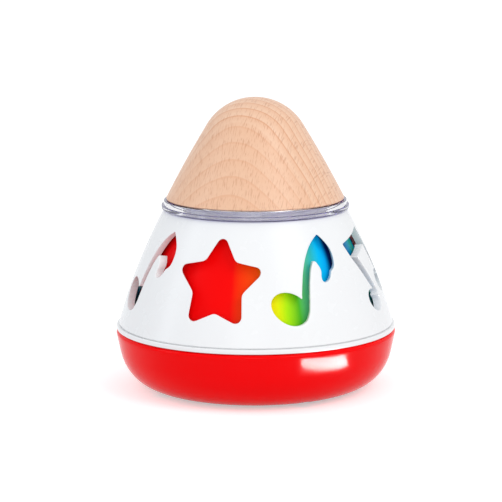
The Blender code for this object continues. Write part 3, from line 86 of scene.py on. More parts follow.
# Flat drawings are joined in millimetres, with these tolerances.
PER_METRE = 1000
MERGE_TOLERANCE = 1e-6
SKIN_TOLERANCE = 1e-5
# The fewest points of an evened outline.
FEWEST_POINTS = 24
# An outline moves outwards by at most this share of its inner corners' radius, and a corner slows
# this many points on each side of it.
FOLD_SHARE = 0.5
FOLD_REACH = 2
# Most of a noise lies between these values.
NOISE_BAND = (0.3, 0.7)
CLEAREST = (1.0, 1.0, 1.0)

Point = tuple[float, float]
Colour = tuple[float, float, float]
Socket = bpy.types.NodeSocket
Operand = float | Socket


class Body(Enum):
    """The CAD bodies that the pieces of this file ride on."""

    BASE = "base"
    ROTOR = "rotor"
    GREAT_WHEEL = "great_wheel"
    CLICK_PAWL = "click_pawl"


class Cut(Enum):
    """What a tool does to the piece that it is used on."""

    JOIN = "UNION"
    REMOVE = "DIFFERENCE"


class Grain(Enum):
    """How a metal surface was worked, as the stretch of its scratches along x, y and z."""

    ROLLED = (900.0, 90.0, 900.0)
    TURNED = (140.0, 140.0, 2600.0)
    CAST = (1500.0, 1500.0, 1500.0)
    PLATED = (420.0, 420.0, 420.0)


class WindowShape(Enum):
    """The three kinds of window in the shell."""

    STAR = "star"
    NOTE = "note"
    DOUBLE_NOTE = "double_note"


def spread(start: float, end: float, steps: int) -> list[float]:
    """Return evenly spaced numbers from start to end, both included."""
    return [start + (end - start) * i / steps for i in range(steps + 1)]


def bulge(most: float, share: float) -> float:
    """Return a shallow arc's rise at a share of its length: nothing at its ends, most midway."""
    return 4 * most * share * (1 - share)


def on_circle(radius: float, azimuth: float, height: float = 0.0) -> tuple[float, float, float]:
    """Return the place at a radius, at an azimuth in radians, and at a height."""
    return (radius * math.sin(azimuth), -radius * math.cos(azimuth), height)


def round_about(circle: float, azimuths: Sequence[float]) -> list[Point]:
    """Return the places on a circle at azimuths in degrees."""
    return [on_circle(circle, math.radians(azimuth))[:2] for azimuth in azimuths]


def rounded(corners: Sequence[tuple[float, float, float]], steps: int = 6) -> list[Point]:
    """Return an outline with each corner eased by an arc.

    Args:
        corners: The two coordinates of each corner and the radius of its arc, 0 for a sharp corner.
        steps: How many straight steps an arc has.

    Returns:
        The points of the eased outline, in the same order.
    """
    points: list[Point] = []
    for i, (x, y, radius) in enumerate(corners):
        here = Vector((x, y))
        if radius == 0:
            points.append((x, y))
            continue
        back = (Vector(corners[i - 1][:2]) - here).normalized()
        ahead = (Vector(corners[(i + 1) % len(corners)][:2]) - here).normalized()
        half = back.angle(ahead) / 2
        centre = here + (back + ahead).normalized() * radius / math.sin(half)
        start = here + back * radius / math.tan(half) - centre
        end = here + ahead * radius / math.tan(half) - centre
        first = math.atan2(start.y, start.x)
        sweep = math.remainder(math.atan2(end.y, end.x) - first, math.tau)
        for angle in spread(first, first + sweep, steps):
            x, y = math.cos(angle), math.sin(angle)
            points.append((centre.x + radius * x, centre.y + radius * y))
    return points


def ellipse(
    half_length: float, half_width: float, tilt: float, centre: Point, steps: int
) -> list[Point]:
    """Return points round a tilted ellipse.

    Args:
        half_length: Half of its long axis.
        half_width: Half of its short axis.
        tilt: The turn of its long axis in degrees.
        centre: Its middle.
        steps: How many points it has.

    Returns:
        The points, anticlockwise.
    """
    cosine = math.cos(math.radians(tilt))
    sine = math.sin(math.radians(tilt))
    points = []
    for angle in spread(0.0, math.tau, steps)[:-1]:
        x = half_length * math.cos(angle)
        y = half_width * math.sin(angle)
        points.append((centre[0] + x * cosine - y * sine, centre[1] + x * sine + y * cosine))
    return points


def worked_out(piece: bpy.types.Object) -> bpy.types.Mesh:
    """Return a new mesh of an object as its curve or its modifiers give it.

    Args:
        piece: The object, linked to the scene.

    Returns:
        The mesh, which no object uses yet.
    """
    bpy.context.view_layer.update()
    depsgraph = bpy.context.evaluated_depsgraph_get()
    return bpy.data.meshes.new_from_object(piece.evaluated_get(depsgraph))


def bezier(points: Sequence[Point], sharp: Sequence[int], steps: int) -> list[Point]:
    """Return a closed smooth curve through points.

    Args:
        points: The points that the curve passes through.
        sharp: The numbers of the points that are corners.
        steps: How many straight steps lie between two points.

    Returns:
        The points of the curve, in the same order.
    """
    curve = bpy.data.curves.new("outline", "CURVE")
    curve.dimensions = "2D"
    curve.resolution_u = steps
    spline = curve.splines.new("BEZIER")
    spline.bezier_points.add(len(points) - 1)
    for i, (knot, (x, y)) in enumerate(zip(spline.bezier_points, points)):
        kind = "VECTOR" if i in sharp else "AUTO"
        knot.co = (x, y, 0.0)
        knot.handle_left_type = kind
        knot.handle_right_type = kind
    spline.use_cyclic_u = True
    holder = bpy.data.objects.new("outline", curve)
    bpy.context.scene.collection.objects.link(holder)
    mesh = worked_out(holder)
    found = [(corner.co.x, corner.co.y) for corner in mesh.vertices]
    bpy.data.objects.remove(holder, do_unlink=True)
    bpy.data.curves.remove(curve)
    bpy.data.meshes.remove(mesh)
    return found


def merged(outlines: Sequence[Sequence[Point]]) -> list[Point]:
    """Return the outline round overlapping outlines, anticlockwise.

    Args:
        outlines: Closed outlines that overlap into one region without holes.

    Returns:
        The points of the region's edge.
    """
    corners: list[Vector] = []
    faces: list[list[int]] = []
    for outline in outlines:
        faces.append(list(range(len(corners), len(corners) + len(outline))))
        corners.extend(Vector(point) * PER_METRE for point in outline)
    places, _, triangles, *_ = delaunay_2d_cdt(corners, [], faces, 1, MERGE_TOLERANCE)
    sides = {(face[i - 1], face[i]) for face in triangles for i in range(len(face))}
    follower = {a: b for a, b in sides if (b, a) not in sides}
    start = next(iter(follower))
    chain = [start]
    while follower[chain[-1]] != start:
        chain.append(follower[chain[-1]])
    return [(places[i].x / PER_METRE, places[i].y / PER_METRE) for i in chain]


def evened(outline: Sequence[Point], spacing: float, passes: int) -> np.ndarray:
    """Return a closed outline with evenly spaced points and slightly eased corners.

    Args:
        outline: The points of the outline.
        spacing: The distance between points.
        passes: How often each point moves towards the middle of its neighbours.

    Returns:
        The points as rows of two numbers.
    """
    points = np.array(outline)
    closed = np.vstack([points, points[:1]])
    along = np.concatenate([[0.0], np.cumsum(np.hypot(*np.diff(closed, axis=0).T))])
    count = max(FEWEST_POINTS, round(along[-1] / spacing))
    marks = np.linspace(0.0, along[-1], count, endpoint=False)
    points = np.column_stack([np.interp(marks, along, closed[:, k]) for k in (0, 1)])
    for _ in range(passes):
        points = points / 2 + (np.roll(points, 1, axis=0) + np.roll(points, -1, axis=0)) / 4
    return points


def outward(points: np.ndarray) -> np.ndarray:
    """Return the directions that point out of an anticlockwise outline.

    Args:
        points: The outline's points as rows of two numbers.

    Returns:
        A unit direction for each point, as rows of two numbers.
    """
    along = np.roll(points, -1, axis=0) - np.roll(points, 1, axis=0)
    normals = np.column_stack([along[:, 1], -along[:, 0]])
    return normals / np.linalg.norm(normals, axis=1, keepdims=True)


def reaches(points: np.ndarray, reach: float) -> np.ndarray:
    """Return how an anticlockwise outline moves outwards without folding over in its inner corners.

    Args:
        points: The outline's points as rows of two numbers.
        reach: How far a point moves where it has the room.

    Returns:
        The move of each point as rows of two numbers.
    """
    ahead = np.roll(points, -1, axis=0) - points
    back = np.roll(ahead, 1, axis=0)
    across = back[:, 0] * ahead[:, 1] - back[:, 1] * ahead[:, 0]
    turn = np.arctan2(across, (back * ahead).sum(axis=1))
    length = (np.linalg.norm(back, axis=1) + np.linalg.norm(ahead, axis=1)) / 2
    bend = np.maximum(-turn / length, FOLD_SHARE / reach)
    limit = FOLD_SHARE / bend
    for step in range(1, FOLD_REACH + 1):
        limit = np.minimum(limit, np.minimum(np.roll(limit, step), np.roll(limit, -step)))
    return limit[:, None] * outward(points)


def inside(places: np.ndarray, outline: np.ndarray) -> np.ndarray:
    """Return which places lie inside a closed outline.

    Args:
        places: Rows of two numbers.
        outline: The outline's points as rows of two numbers.

    Returns:
        A row of true and false, one for each place.
    """
    found = np.zeros(len(places), bool)
    x, y = places[:, 0], places[:, 1]
    for (ax, ay), (bx, by) in zip(outline, np.roll(outline, -1, axis=0)):
        if ay == by:
            continue
        crosses = (ay > y) != (by > y)
        found ^= crosses & (x < (bx - ax) * (y - ay) / (by - ay) + ax)
    return found


def nearest(places: np.ndarray, others: np.ndarray) -> np.ndarray:
    """Return each place's distance from the nearest of the others."""
    gaps = [np.min(np.hypot(*(others - place).T)) for place in places]
    return np.array(gaps)


class Sketch:
    """The corners and faces of one piece while it is drawn."""

    def __init__(self) -> None:
        """Start with nothing drawn."""
        self.corners: list[tuple[float, float, float]] = []
        self.faces: list[tuple[int, ...]] = []
        self.coats: list[int] = []

    def corner(self, place: Sequence[float]) -> int:
        """Add a corner and return its number."""
        self.corners.append((place[0], place[1], place[2]))
        return len(self.corners) - 1

    def face(self, corners: Sequence[int], coat: int = 0) -> None:
        """Add a face on numbered corners, in one of the piece's coats."""
        self.faces.append(tuple(corners))
        self.coats.append(coat)

    def strip(self, first: Sequence[int], second: Sequence[int], coat: int = 0) -> None:
        """Join two closed rows of corners of the same length by a band of four-sided faces."""
        for i in range(len(first)):
            self.face((first[i - 1], first[i], second[i], second[i - 1]), coat)

    def turn(
        self,
        profile: Sequence[Point],
        facets: int,
        centre: Point = (0.0, 0.0),
        ring: bool = True,
        coats: Sequence[int] = (),
    ) -> None:
        """Turn a profile round an upright axis.

        Args:
            profile: The radius and height of each point.
            facets: How many flats a full turn has.
            centre: Where the axis stands.
            ring: Whether the last point joins the first one.
            coats: The coat of the band that starts at each point, where it isn't the first coat.
        """
        rows: list[list[int]] = []
        for radius, height in profile:
            if radius < WELD:
                rows.append([self.corner((*centre, height))] * facets)
                continue
            row = []
            for i in range(facets):
                x, y, _ = on_circle(radius, math.tau * i / facets)
                row.append(self.corner((centre[0] + x, centre[1] + y, height)))
            rows.append(row)
        bands = len(rows) if ring else len(rows) - 1
        for i in range(bands):
            here, after = rows[i], rows[(i + 1) % len(rows)]
            coat = coats[i] if coats else 0
            for k in range(facets):
                loop = dict.fromkeys((here[k - 1], here[k], after[k], after[k - 1]))
                if len(loop) > 2:
                    self.face(tuple(loop), coat)

    def block(self, low: Sequence[float], high: Sequence[float]) -> None:
        """Add a box between two opposite corners.

        Args:
            low: Its corner with the smallest coordinates.
            high: Its corner with the largest coordinates.
        """
        floor = [(low[0], low[1]), (low[0], high[1]), (high[0], high[1]), (high[0], low[1])]
        below = [self.corner((x, y, low[2])) for x, y in floor]
        above = [self.corner((x, y, high[2])) for x, y in floor]
        self.face(below)
        self.face(above)
        self.strip(below, above)

    def piece(self, name: str) -> bpy.types.Object:
        """Return the drawing as an object with smooth faces.

        Args:
            name: The object's name.

        Returns:
            The object, linked to the scene.
        """
        mesh = bpy.data.meshes.new(name)
        mesh.from_pydata(self.corners, [], self.faces)
        mesh.polygons.foreach_set("material_index", self.coats)
        shape = bmesh.new()
        shape.from_mesh(mesh)
        bmesh.ops.remove_doubles(shape, verts=shape.verts, dist=WELD)
        bmesh.ops.recalc_face_normals(shape, faces=shape.faces)
        closed = all(edge.is_manifold for edge in shape.edges)
        if closed and shape.calc_volume(signed=True) < 0:
            bmesh.ops.reverse_faces(shape, faces=shape.faces)
        shape.to_mesh(mesh)
        shape.free()
        shade(mesh)
        made = bpy.data.objects.new(name, mesh)
        bpy.context.scene.collection.objects.link(made)
        return made


def shade(mesh: bpy.types.Mesh) -> None:
    """Shade a mesh smoothly, with its edges kept sharp above the crease angle."""
    mesh.shade_smooth()
    mesh.set_sharp_from_angle(angle=math.radians(CREASE))


def carve(piece: bpy.types.Object, tools: Sequence[tuple[Cut, Sketch]]) -> None:
    """Use tools on a piece, in order, and keep the result as its mesh.

    Args:
        piece: The piece to change.
        tools: What each tool does, and its shape.
    """
    used = []
    for i, (cut, sketch) in enumerate(tools):
        tool = sketch.piece(f"{piece.name}_tool_{i}")
        step = piece.modifiers.new(tool.name, "BOOLEAN")
        step.operation = cut.value
        step.solver = "EXACT"
        step.object = tool
        used.append(tool)
    before = piece.data
    mesh = worked_out(piece)
    piece.modifiers.clear()
    piece.data = mesh
    bpy.data.meshes.remove(before)
    mesh.name = piece.name
    for tool in used:
        bpy.data.meshes.remove(tool.data)
    shape = bmesh.new()
    shape.from_mesh(mesh)
    bmesh.ops.dissolve_degenerate(shape, dist=WELD, edges=shape.edges)
    shape.to_mesh(mesh)
    shape.free()
    shade(mesh)


class Graph:
    """A material's nodes, with short ways to add and join them."""

    def __init__(self, name: str) -> None:
        """Start a material with a Principled shader.

        Args:
            name: The material's name.
        """
        self.material = bpy.data.materials.new(name)
        self.material.use_nodes = True
        self.tree = self.material.node_tree
        self.shader = self.tree.nodes["Principled BSDF"]
        self.place = self.add("ShaderNodeTexCoord").outputs["Object"]

    def add(self, kind: str, **settings: object) -> bpy.types.Node:
        """Add a node.

        Args:
            kind: Its type.
            settings: Its properties by name.

        Returns:
            The node.
        """
        node = self.tree.nodes.new(kind)
        for name, value in settings.items():
            setattr(node, name, value)
        return node

    def put(self, socket: Socket, value: object) -> None:
        """Link a socket to another one, or set its own value.

        Args:
            socket: The input to feed.
            value: An output socket or a plain value.
        """
        if isinstance(value, Socket):
            self.tree.links.new(value, socket)
        else:
            socket.default_value = value

    def surface(self, **inputs: object) -> None:
        """Set or link inputs of the shader, named with underscores for spaces."""
        for name, value in inputs.items():
            self.put(self.shader.inputs[name.replace("_", " ")], value)

    def compute(self, operation: str, *operands: Operand) -> Socket:
        """Work out a number.

        Args:
            operation: What the Math node does.
            operands: Its inputs, in order.

        Returns:
            The result's socket.
        """
        node = self.add("ShaderNodeMath", operation=operation)
        for socket, operand in zip(node.inputs, operands):
            self.put(socket, operand)
        return node.outputs[0]

    def axes(self, vector: Socket) -> list[Socket]:
        """Take a vector apart.

        Args:
            vector: The vector's socket.

        Returns:
            The sockets of its x, y and z.
        """
        node = self.add("ShaderNodeSeparateXYZ")
        self.put(node.inputs[0], vector)
        return list(node.outputs)

    def stretched(self, scale: Sequence[float], turn: float = 0.0) -> Socket:
        """Turn and scale the object's own coordinates.

        Args:
            scale: The scale along x, y and z.
            turn: The turn about Z before it, in radians.

        Returns:
            The socket of the new coordinates.
        """
        node = self.add("ShaderNodeMapping", vector_type="POINT")
        turned = self.place
        if turn:
            turner = self.add("ShaderNodeVectorRotate", rotation_type="Z_AXIS")
            self.put(turner.inputs["Vector"], self.place)
            self.put(turner.inputs["Angle"], turn)
            turned = turner.outputs[0]
        self.put(node.inputs["Vector"], turned)
        self.put(node.inputs["Scale"], tuple(scale))
        return node.outputs[0]

    def noise(self, vector: Socket, scale: float = 1.0, detail: float = 2.0) -> Socket:
        """Add a noise.

        Args:
            vector: The coordinates that it is laid over.
            scale: How many of its lumps lie along a unit.
            detail: How many finer layers it has.

        Returns:
            The socket of a value between 0 and 1.
        """
        node = self.add("ShaderNodeTexNoise")
        self.put(node.inputs["Vector"], vector)
        self.put(node.inputs["Scale"], scale)
        self.put(node.inputs["Detail"], detail)
        return node.outputs["Fac"]

    def remap(self, value: Socket, source: Point, target: tuple[Operand, Operand]) -> Socket:
        """Carry a value from one range to another, held at the ends.

        Args:
            value: The value's socket.
            source: The range that it comes from.
            target: The range that it goes to.

        Returns:
            The socket of the new value.
        """
        node = self.add("ShaderNodeMapRange", clamp=True)
        self.put(node.inputs["Value"], value)
        for name, end in zip(("From Min", "From Max", "To Min", "To Max"), (*source, *target)):
            self.put(node.inputs[name], end)
        return node.outputs["Result"]

    def ramp(self, factor: Socket, stops: Sequence[tuple[float, Colour]]) -> Socket:
        """Pick a colour between colour stops.

        Args:
            factor: The socket of the place between the stops.
            stops: The place and colour of each stop, in order.

        Returns:
            The colour's socket.
        """
        node = self.add("ShaderNodeValToRGB")
        elements = node.color_ramp.elements
        while len(elements) < len(stops):
            elements.new(1.0)
        for element, (at, colour) in zip(elements, stops):
            element.position = at
            element.color = (*colour, 1.0)
        self.put(node.inputs["Fac"], factor)
        return node.outputs["Color"]

    def fade(self, factor: Operand, first: Socket, second: Colour) -> Socket:
        """Fade one colour into another.

        Args:
            factor: The share of the second colour.
            first: The socket of the first colour.
            second: The second colour.

        Returns:
            The socket of the mixed colour.
        """
        node = self.add("ShaderNodeMix", data_type="RGBA", clamp_factor=True)
        colours = [socket for socket in node.inputs if socket.type == "RGBA"]
        self.put(node.inputs["Factor"], factor)
        self.put(colours[0], first)
        self.put(colours[1], (*second, 1.0))
        return next(socket for socket in node.outputs if socket.type == "RGBA")

    def bump(self, height: Socket, depth: float) -> Socket:
        """Roughen the surface.

        Args:
            height: The socket of a height between 0 and 1.
            depth: What a height of 1 measures in metres.

        Returns:
            The socket of the roughened normal.
        """
        node = self.add("ShaderNodeBump")
        self.put(node.inputs["Height"], height)
        self.put(node.inputs["Distance"], depth)
        return node.outputs["Normal"]


@dataclass(frozen=True)
class Finish:
    """A finish that surfaces can have."""

    name: str

    def material(self) -> bpy.types.Material:
        """Return the finish's material, made at its first use."""
        return bpy.data.materials.get(self.name) or self.make()

    def make(self) -> bpy.types.Material:
        """Return a new material. Each kind of finish makes its own."""
        raise NotImplementedError


@dataclass(frozen=True)
class MouldedPlastic(Finish):
    """Moulded plastic or rubber: slight drifts of colour and gloss over a fine moulded texture."""

    deep: Colour
    light: Colour
    smoothest: float
    roughest: float
    specular: float = 0.5
    texture_depth: float = 0.000004
    texture_scale: float = 1400.0
    drift_scale: float = 28.0
    gloss_scale: float = 140.0
    gloss_detail: float = 4.0

    def make(self) -> bpy.types.Material:
        """Make the material of this plastic.

        Returns:
            The new material.
        """
        graph = Graph(self.name)
        drift = graph.noise(graph.place, self.drift_scale)
        gloss = graph.noise(graph.place, self.gloss_scale, self.gloss_detail)
        grit = graph.noise(graph.place, self.texture_scale)
        graph.surface(
            Base_Color=graph.ramp(drift, tuple(zip(NOISE_BAND, (self.deep, self.light)))),
            Roughness=graph.remap(gloss, NOISE_BAND, (self.smoothest, self.roughest)),
            Specular_IOR_Level=self.specular,
            Normal=graph.bump(grit, self.texture_depth),
        )
        return graph.material


@dataclass(frozen=True)
class RainbowPrint(Finish):
    """A rainbow printed round the drum, once in each half turn, with painted shade in the dark
    bands of its stops.
    """

    stops: tuple[tuple[float, Colour], ...]
    red_azimuth: float
    smoothest: float
    roughest: float
    specular: float = 0.06
    wobble: float = 0.03
    wobble_scale: float = 60.0
    gloss_scale: float = 220.0
    gloss_detail: float = 4.0
    texture_depth: float = 0.000003
    texture_scale: float = 1800.0

    def make(self) -> bpy.types.Material:
        """Make the material of this print.

        Returns:
            The new material.
        """
        graph = Graph(self.name)
        x, y, _ = graph.axes(graph.place)
        azimuth = graph.compute("ARCTAN2", x, graph.compute("MULTIPLY", y, -1.0))
        uneven = graph.noise(graph.place, self.wobble_scale)
        wobble = graph.remap(uneven, (0.0, 1.0), (-self.wobble, self.wobble))
        turned = graph.compute("ADD", azimuth, wobble)
        from_red = graph.compute("SUBTRACT", turned, math.radians(self.red_azimuth))
        share = graph.compute("FRACT", graph.compute("DIVIDE", from_red, math.pi))
        gloss = graph.noise(graph.place, self.gloss_scale, self.gloss_detail)
        grit = graph.noise(graph.place, self.texture_scale)
        graph.surface(
            Base_Color=graph.ramp(share, self.stops),
            Roughness=graph.remap(gloss, NOISE_BAND, (self.smoothest, self.roughest)),
            Specular_IOR_Level=self.specular,
            Normal=graph.bump(grit, self.texture_depth),
        )
        return graph.material


@dataclass(frozen=True)
class Beech(Finish):
    """Pale beech: growth rings across one side, short dark flecks along the grain."""

    early: Colour
    middle: Colour
    late: Colour
    fleck: Colour
    facing: float
    ring_spacing: float
    ring_bend: float
    ring_wander: float
    heart: float
    heart_edge: float = 0.0004
    heart_weight: float = 0.62
    ring_lean: float = 0.05
    wander_stretch: tuple[float, float, float] = (30.0, 30.0, 9.0)
    wander_band: Point = (0.2, 0.8)
    late_end: float = 0.06
    middle_at: float = 0.14
    early_start: float = 0.80
    early_end: float = 0.96
    fibre_stretch: tuple[float, float, float] = (1400.0, 1400.0, 60.0)
    fibre_detail: float = 3.0
    fibre_band: Point = (0.40, 0.75)
    fibre_weight: float = 0.22
    fibre_depth: float = 0.00002
    fleck_stretch: tuple[float, float, float] = (3000.0, 230.0, 380.0)
    fleck_band: Point = (0.57, 0.74)
    fleck_weight: float = 0.42
    smoothest: float = 0.30
    roughest: float = 0.42
    specular: float = 0.45

    def ring_stops(self) -> tuple[tuple[float, Colour], ...]:
        """List the colours across one year's growth.

        Returns:
            The place and colour of each stop, from late wood to late wood.
        """
        return (
            (0.0, self.late),
            (self.late_end, self.late),
            (self.middle_at, self.middle),
            (self.early_start, self.early),
            (self.early_end, self.early),
            (1.0, self.late),
        )

    def make(self) -> bpy.types.Material:
        """Make the material of this wood.

        Returns:
            The new material.
        """
        graph = Graph(self.name)
        turn = -math.radians(self.facing)
        x, y, z = graph.axes(graph.stretched((1.0, 1.0, 1.0), turn))
        bend = graph.compute("MULTIPLY", graph.compute("MULTIPLY", x, x), self.ring_bend)
        lean = graph.compute("MULTIPLY", z, self.ring_lean)
        depth = graph.compute("ADD", graph.compute("SUBTRACT", bend, y), lean)
        slow = graph.noise(graph.stretched(self.wander_stretch))
        drift = graph.remap(slow, self.wander_band, (-self.ring_wander, self.ring_wander))
        rings = graph.compute("DIVIDE", graph.compute("ADD", depth, drift), self.ring_spacing)
        colour = graph.ramp(graph.compute("FRACT", rings), self.ring_stops())
        heart = (self.heart - self.heart_edge, self.heart)
        edge = graph.remap(depth, heart, (0.0, self.heart_weight))
        settled = graph.fade(edge, colour, self.middle)
        fibres = graph.noise(graph.stretched(self.fibre_stretch), detail=self.fibre_detail)
        streaks = graph.remap(fibres, self.fibre_band, (0.0, self.fibre_weight))
        pale = graph.fade(streaks, settled, self.late)
        rays = graph.noise(graph.stretched(self.fleck_stretch, turn), detail=0.0)
        marks = graph.remap(rays, self.fleck_band, (0.0, self.fleck_weight))
        graph.surface(
            Base_Color=graph.fade(marks, pale, self.fleck),
            Roughness=graph.remap(fibres, NOISE_BAND, (self.smoothest, self.roughest)),
            Specular_IOR_Level=self.specular,
            Normal=graph.bump(fibres, self.fibre_depth),
        )
        return graph.material


@dataclass(frozen=True)
class ClearPlastic(Finish):
    """Clear moulded plastic with a faint unevenness."""

    tint: Colour
    index: float
    haze_scale: float = 300.0
    haze_detail: float = 4.0
    smoothest: float = 0.01
    roughest: float = 0.05

    def make(self) -> bpy.types.Material:
        """Make the material of this plastic.

        Returns:
            The new material.
        """
        graph = Graph(self.name)
        haze = graph.noise(graph.place, self.haze_scale, self.haze_detail)
        graph.surface(
            Base_Color=graph.ramp(haze, tuple(zip(NOISE_BAND, (self.tint, CLEAREST)))),
            Roughness=graph.remap(haze, NOISE_BAND, (self.smoothest, self.roughest)),
            IOR=self.index,
            Transmission_Weight=1.0,
        )
        return graph.material


@dataclass(frozen=True)
class Metal(Finish):
    """A worked metal, with scratches that follow how it was worked."""

    deep: Colour
    light: Colour
    smoothest: float
    roughest: float
    grain: Grain
    scratch_detail: float = 4.0
    scratch_band: Point = (0.25, 0.75)
    scratch_depth: float = 0.000008
    stain_scale: float = 120.0
    stain_detail: float = 3.0

    def make(self) -> bpy.types.Material:
        """Make the material of this metal.

        Returns:
            The new material.
        """
        graph = Graph(self.name)
        stretched = graph.stretched(self.grain.value)
        scratches = graph.noise(stretched, detail=self.scratch_detail)
        stains = graph.noise(graph.place, self.stain_scale, self.stain_detail)
        rough = (self.smoothest, self.roughest)
        graph.surface(
            Base_Color=graph.ramp(stains, tuple(zip(NOISE_BAND, (self.deep, self.light)))),
            Metallic=1.0,
            Roughness=graph.remap(scratches, self.scratch_band, rough),
            Normal=graph.bump(scratches, self.scratch_depth),
        )
        return graph.material


# The colours once round the print, from red to red, with painted shade in its dark navy and dark
# maroon bands. Each is in linear light.
RAINBOW_AND_PAINTED_SHADE = (
    (0.000, (0.97, 0.001, 0.002)),
    (0.116, (0.98, 0.001, 0.001)),
    (0.140, (0.98, 0.035, 0.001)),
    (0.188, (0.98, 0.085, 0.001)),
    (0.204, (0.98, 0.300, 0.001)),
    (0.222, (0.98, 0.820, 0.001)),
    (0.244, (0.84, 0.920, 0.001)),
    (0.268, (0.44, 0.860, 0.002)),
    (0.300, (0.08, 0.500, 0.012)),
    # Painted light: this sea-green is lightened to make up for the shade in a note's narrow stem
    # slot.
    (0.334, (0.13, 0.640, 0.340)),
    (0.366, (0.03, 0.520, 0.540)),
    (0.396, (0.001, 0.560, 0.980)),
    (0.420, (0.001, 0.460, 0.960)),
    # Painted shade: from here to 0.530 the blue falls sharply to dark navy, standing for the shadow
    # that a window's edge casts on the drum.
    (0.438, (0.001, 0.020, 0.160)),
    (0.530, (0.002, 0.012, 0.110)),
    (0.566, (0.002, 0.220, 0.500)),
    (0.596, (0.004, 0.340, 0.420)),
    (0.622, (0.008, 0.360, 0.190)),
    (0.642, (0.004, 0.300, 0.420)),
    # Painted shade: from here to 0.739 the print darkens to dark blue and dark maroon, standing for
    # the shade between the drum and a window's wall.
    (0.672, (0.003, 0.060, 0.240)),
    (0.700, (0.080, 0.008, 0.020)),
    (0.739, (0.400, 0.004, 0.006)),
    (0.794, (0.820, 0.002, 0.004)),
    (1.000, (0.970, 0.001, 0.002)),
)

RED = MouldedPlastic(
    "red_gloss",
    deep=(0.97, 0.001, 0.002),
    light=(0.99, 0.001, 0.003),
    smoothest=0.13,
    roughest=0.17,
    specular=0.06,
    texture_depth=0.000001,
)
WHITE = MouldedPlastic(
    "white_satin",
    deep=(0.900, 0.902, 0.910),
    light=(0.915, 0.917, 0.924),
    smoothest=0.25,
    roughest=0.28,
    specular=0.3,
    texture_depth=0.000001,
)
LILAC = MouldedPlastic("lilac_satin", (0.82, 0.80, 0.95), (0.86, 0.84, 0.97), 0.25, 0.34)
INDIGO = MouldedPlastic(
    "indigo_print",
    deep=(0.040, 0.012, 0.330),
    light=(0.052, 0.016, 0.390),
    smoothest=0.80,
    roughest=0.90,
    specular=0.0,
)
RUBBER = MouldedPlastic(
    "grey_rubber_pad",
    deep=(0.11, 0.11, 0.12),
    light=(0.16, 0.16, 0.17),
    smoothest=0.75,
    roughest=0.90,
    specular=0.3,
    texture_depth=0.00003,
    texture_scale=900.0,
)
ACETAL = MouldedPlastic("white_acetal_gear", (0.80, 0.79, 0.74), (0.86, 0.85, 0.81), 0.35, 0.45)
BLACK = MouldedPlastic("black_fan", (0.020, 0.020, 0.022), (0.032, 0.032, 0.034), 0.35, 0.50)
PRINT_AND_PAINTED_SHADE = RainbowPrint(
    "rainbow_print_and_painted_shade", stops=RAINBOW_AND_PAINTED_SHADE, red_azimuth=-14.8, smoothest=0.30, roughest=0.40
)
CLEAR = ClearPlastic("clear_acrylic", tint=(0.95, 0.945, 1.0), index=1.49)
BEECH = Beech(
    "oiled_beech",
    early=(0.900, 0.595, 0.415),
    middle=(0.860, 0.520, 0.340),
    late=(0.780, 0.410, 0.245),
    fleck=(0.560, 0.240, 0.125),
    facing=-1.8,
    ring_spacing=0.0036,
    ring_bend=1.5,
    ring_wander=0.0008,
    heart=0.0245,
)
ZINC = Metal("zinc_plated", (0.56, 0.57, 0.58), (0.68, 0.69, 0.70), 0.26, 0.38, Grain.PLATED)
BRIGHT = Metal("bright_turned", (0.64, 0.64, 0.66), (0.74, 0.75, 0.77), 0.16, 0.28, Grain.TURNED)
BRUSHED = Metal("brushed_sheet", (0.52, 0.53, 0.54), (0.62, 0.63, 0.64), 0.30, 0.46, Grain.ROLLED)
BLUED = Metal("blued_strip", (0.09, 0.12, 0.24), (0.20, 0.24, 0.38), 0.24, 0.38, Grain.ROLLED)
CAST = Metal("cast_zinc_alloy", (0.44, 0.45, 0.47), (0.54, 0.55, 0.57), 0.45, 0.62, Grain.CAST)
BRASS = Metal("turned_brass", (0.70, 0.49, 0.18), (0.82, 0.62, 0.27), 0.20, 0.34, Grain.TURNED)
BRONZE = Metal("sintered_bronze", (0.52, 0.32, 0.15), (0.64, 0.43, 0.22), 0.34, 0.48, Grain.CAST)

# The finish of each material slot in the part's record.
FINISHES: dict[str, Finish] = {
    "red_plastic": RED,
    "white_plastic": WHITE,
    "rainbow_plastic": PRINT_AND_PAINTED_SHADE,
    "lilac_plastic": LILAC,
    "clear_plastic": CLEAR,
    "beech": BEECH,
    "grey_rubber": RUBBER,
    "white_acetal": ACETAL,
    "black_plastic": BLACK,
    "zinc_steel": ZINC,
    "bright_steel": BRIGHT,
    "brushed_steel": BRUSHED,
    "blued_steel": BLUED,
    "cast_zinc": CAST,
    "brass": BRASS,
    "bronze": BRONZE,
}


def stand_in(piece: bpy.types.Object, node: str, slot: str, *finishes: Finish) -> None:
    """Give a piece its finishes and let it stand for a CAD node.

    Args:
        piece: The piece.
        node: The CAD node that it stands for.
        slot: The record's material slot of its main finish. It is not used.
        finishes: The finishes of its coats, in order.
    """
    for finish in finishes:
        piece.data.materials.append(finish.material())
    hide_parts(node)
    LOG.info("%s stands for %s with %d faces", piece.name, node, len(piece.data.polygons))


def mount(piece: bpy.types.Object, body: Body, node: str, slot: str, *finishes: Finish) -> None:
    """Let a piece ride on a CAD body and stand for one of its nodes, in finishes."""
    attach(piece, body.value)
    stand_in(piece, node, slot, *finishes)


def post(radius: float, low: float, high: float, centre: Point) -> Sketch:
    """Draw an upright round post.

    Args:
        radius: Its radius.
        low: The height of its lower end.
        high: The height of its upper end.
        centre: Where its axis stands.

    Returns:
        The drawing.
    """
    sketch = Sketch()
    profile = [(0.0, high), (radius, high), (radius, low), (0.0, low)]
    sketch.turn(profile, SMALL_FACETS, centre, ring=False)
    return sketch


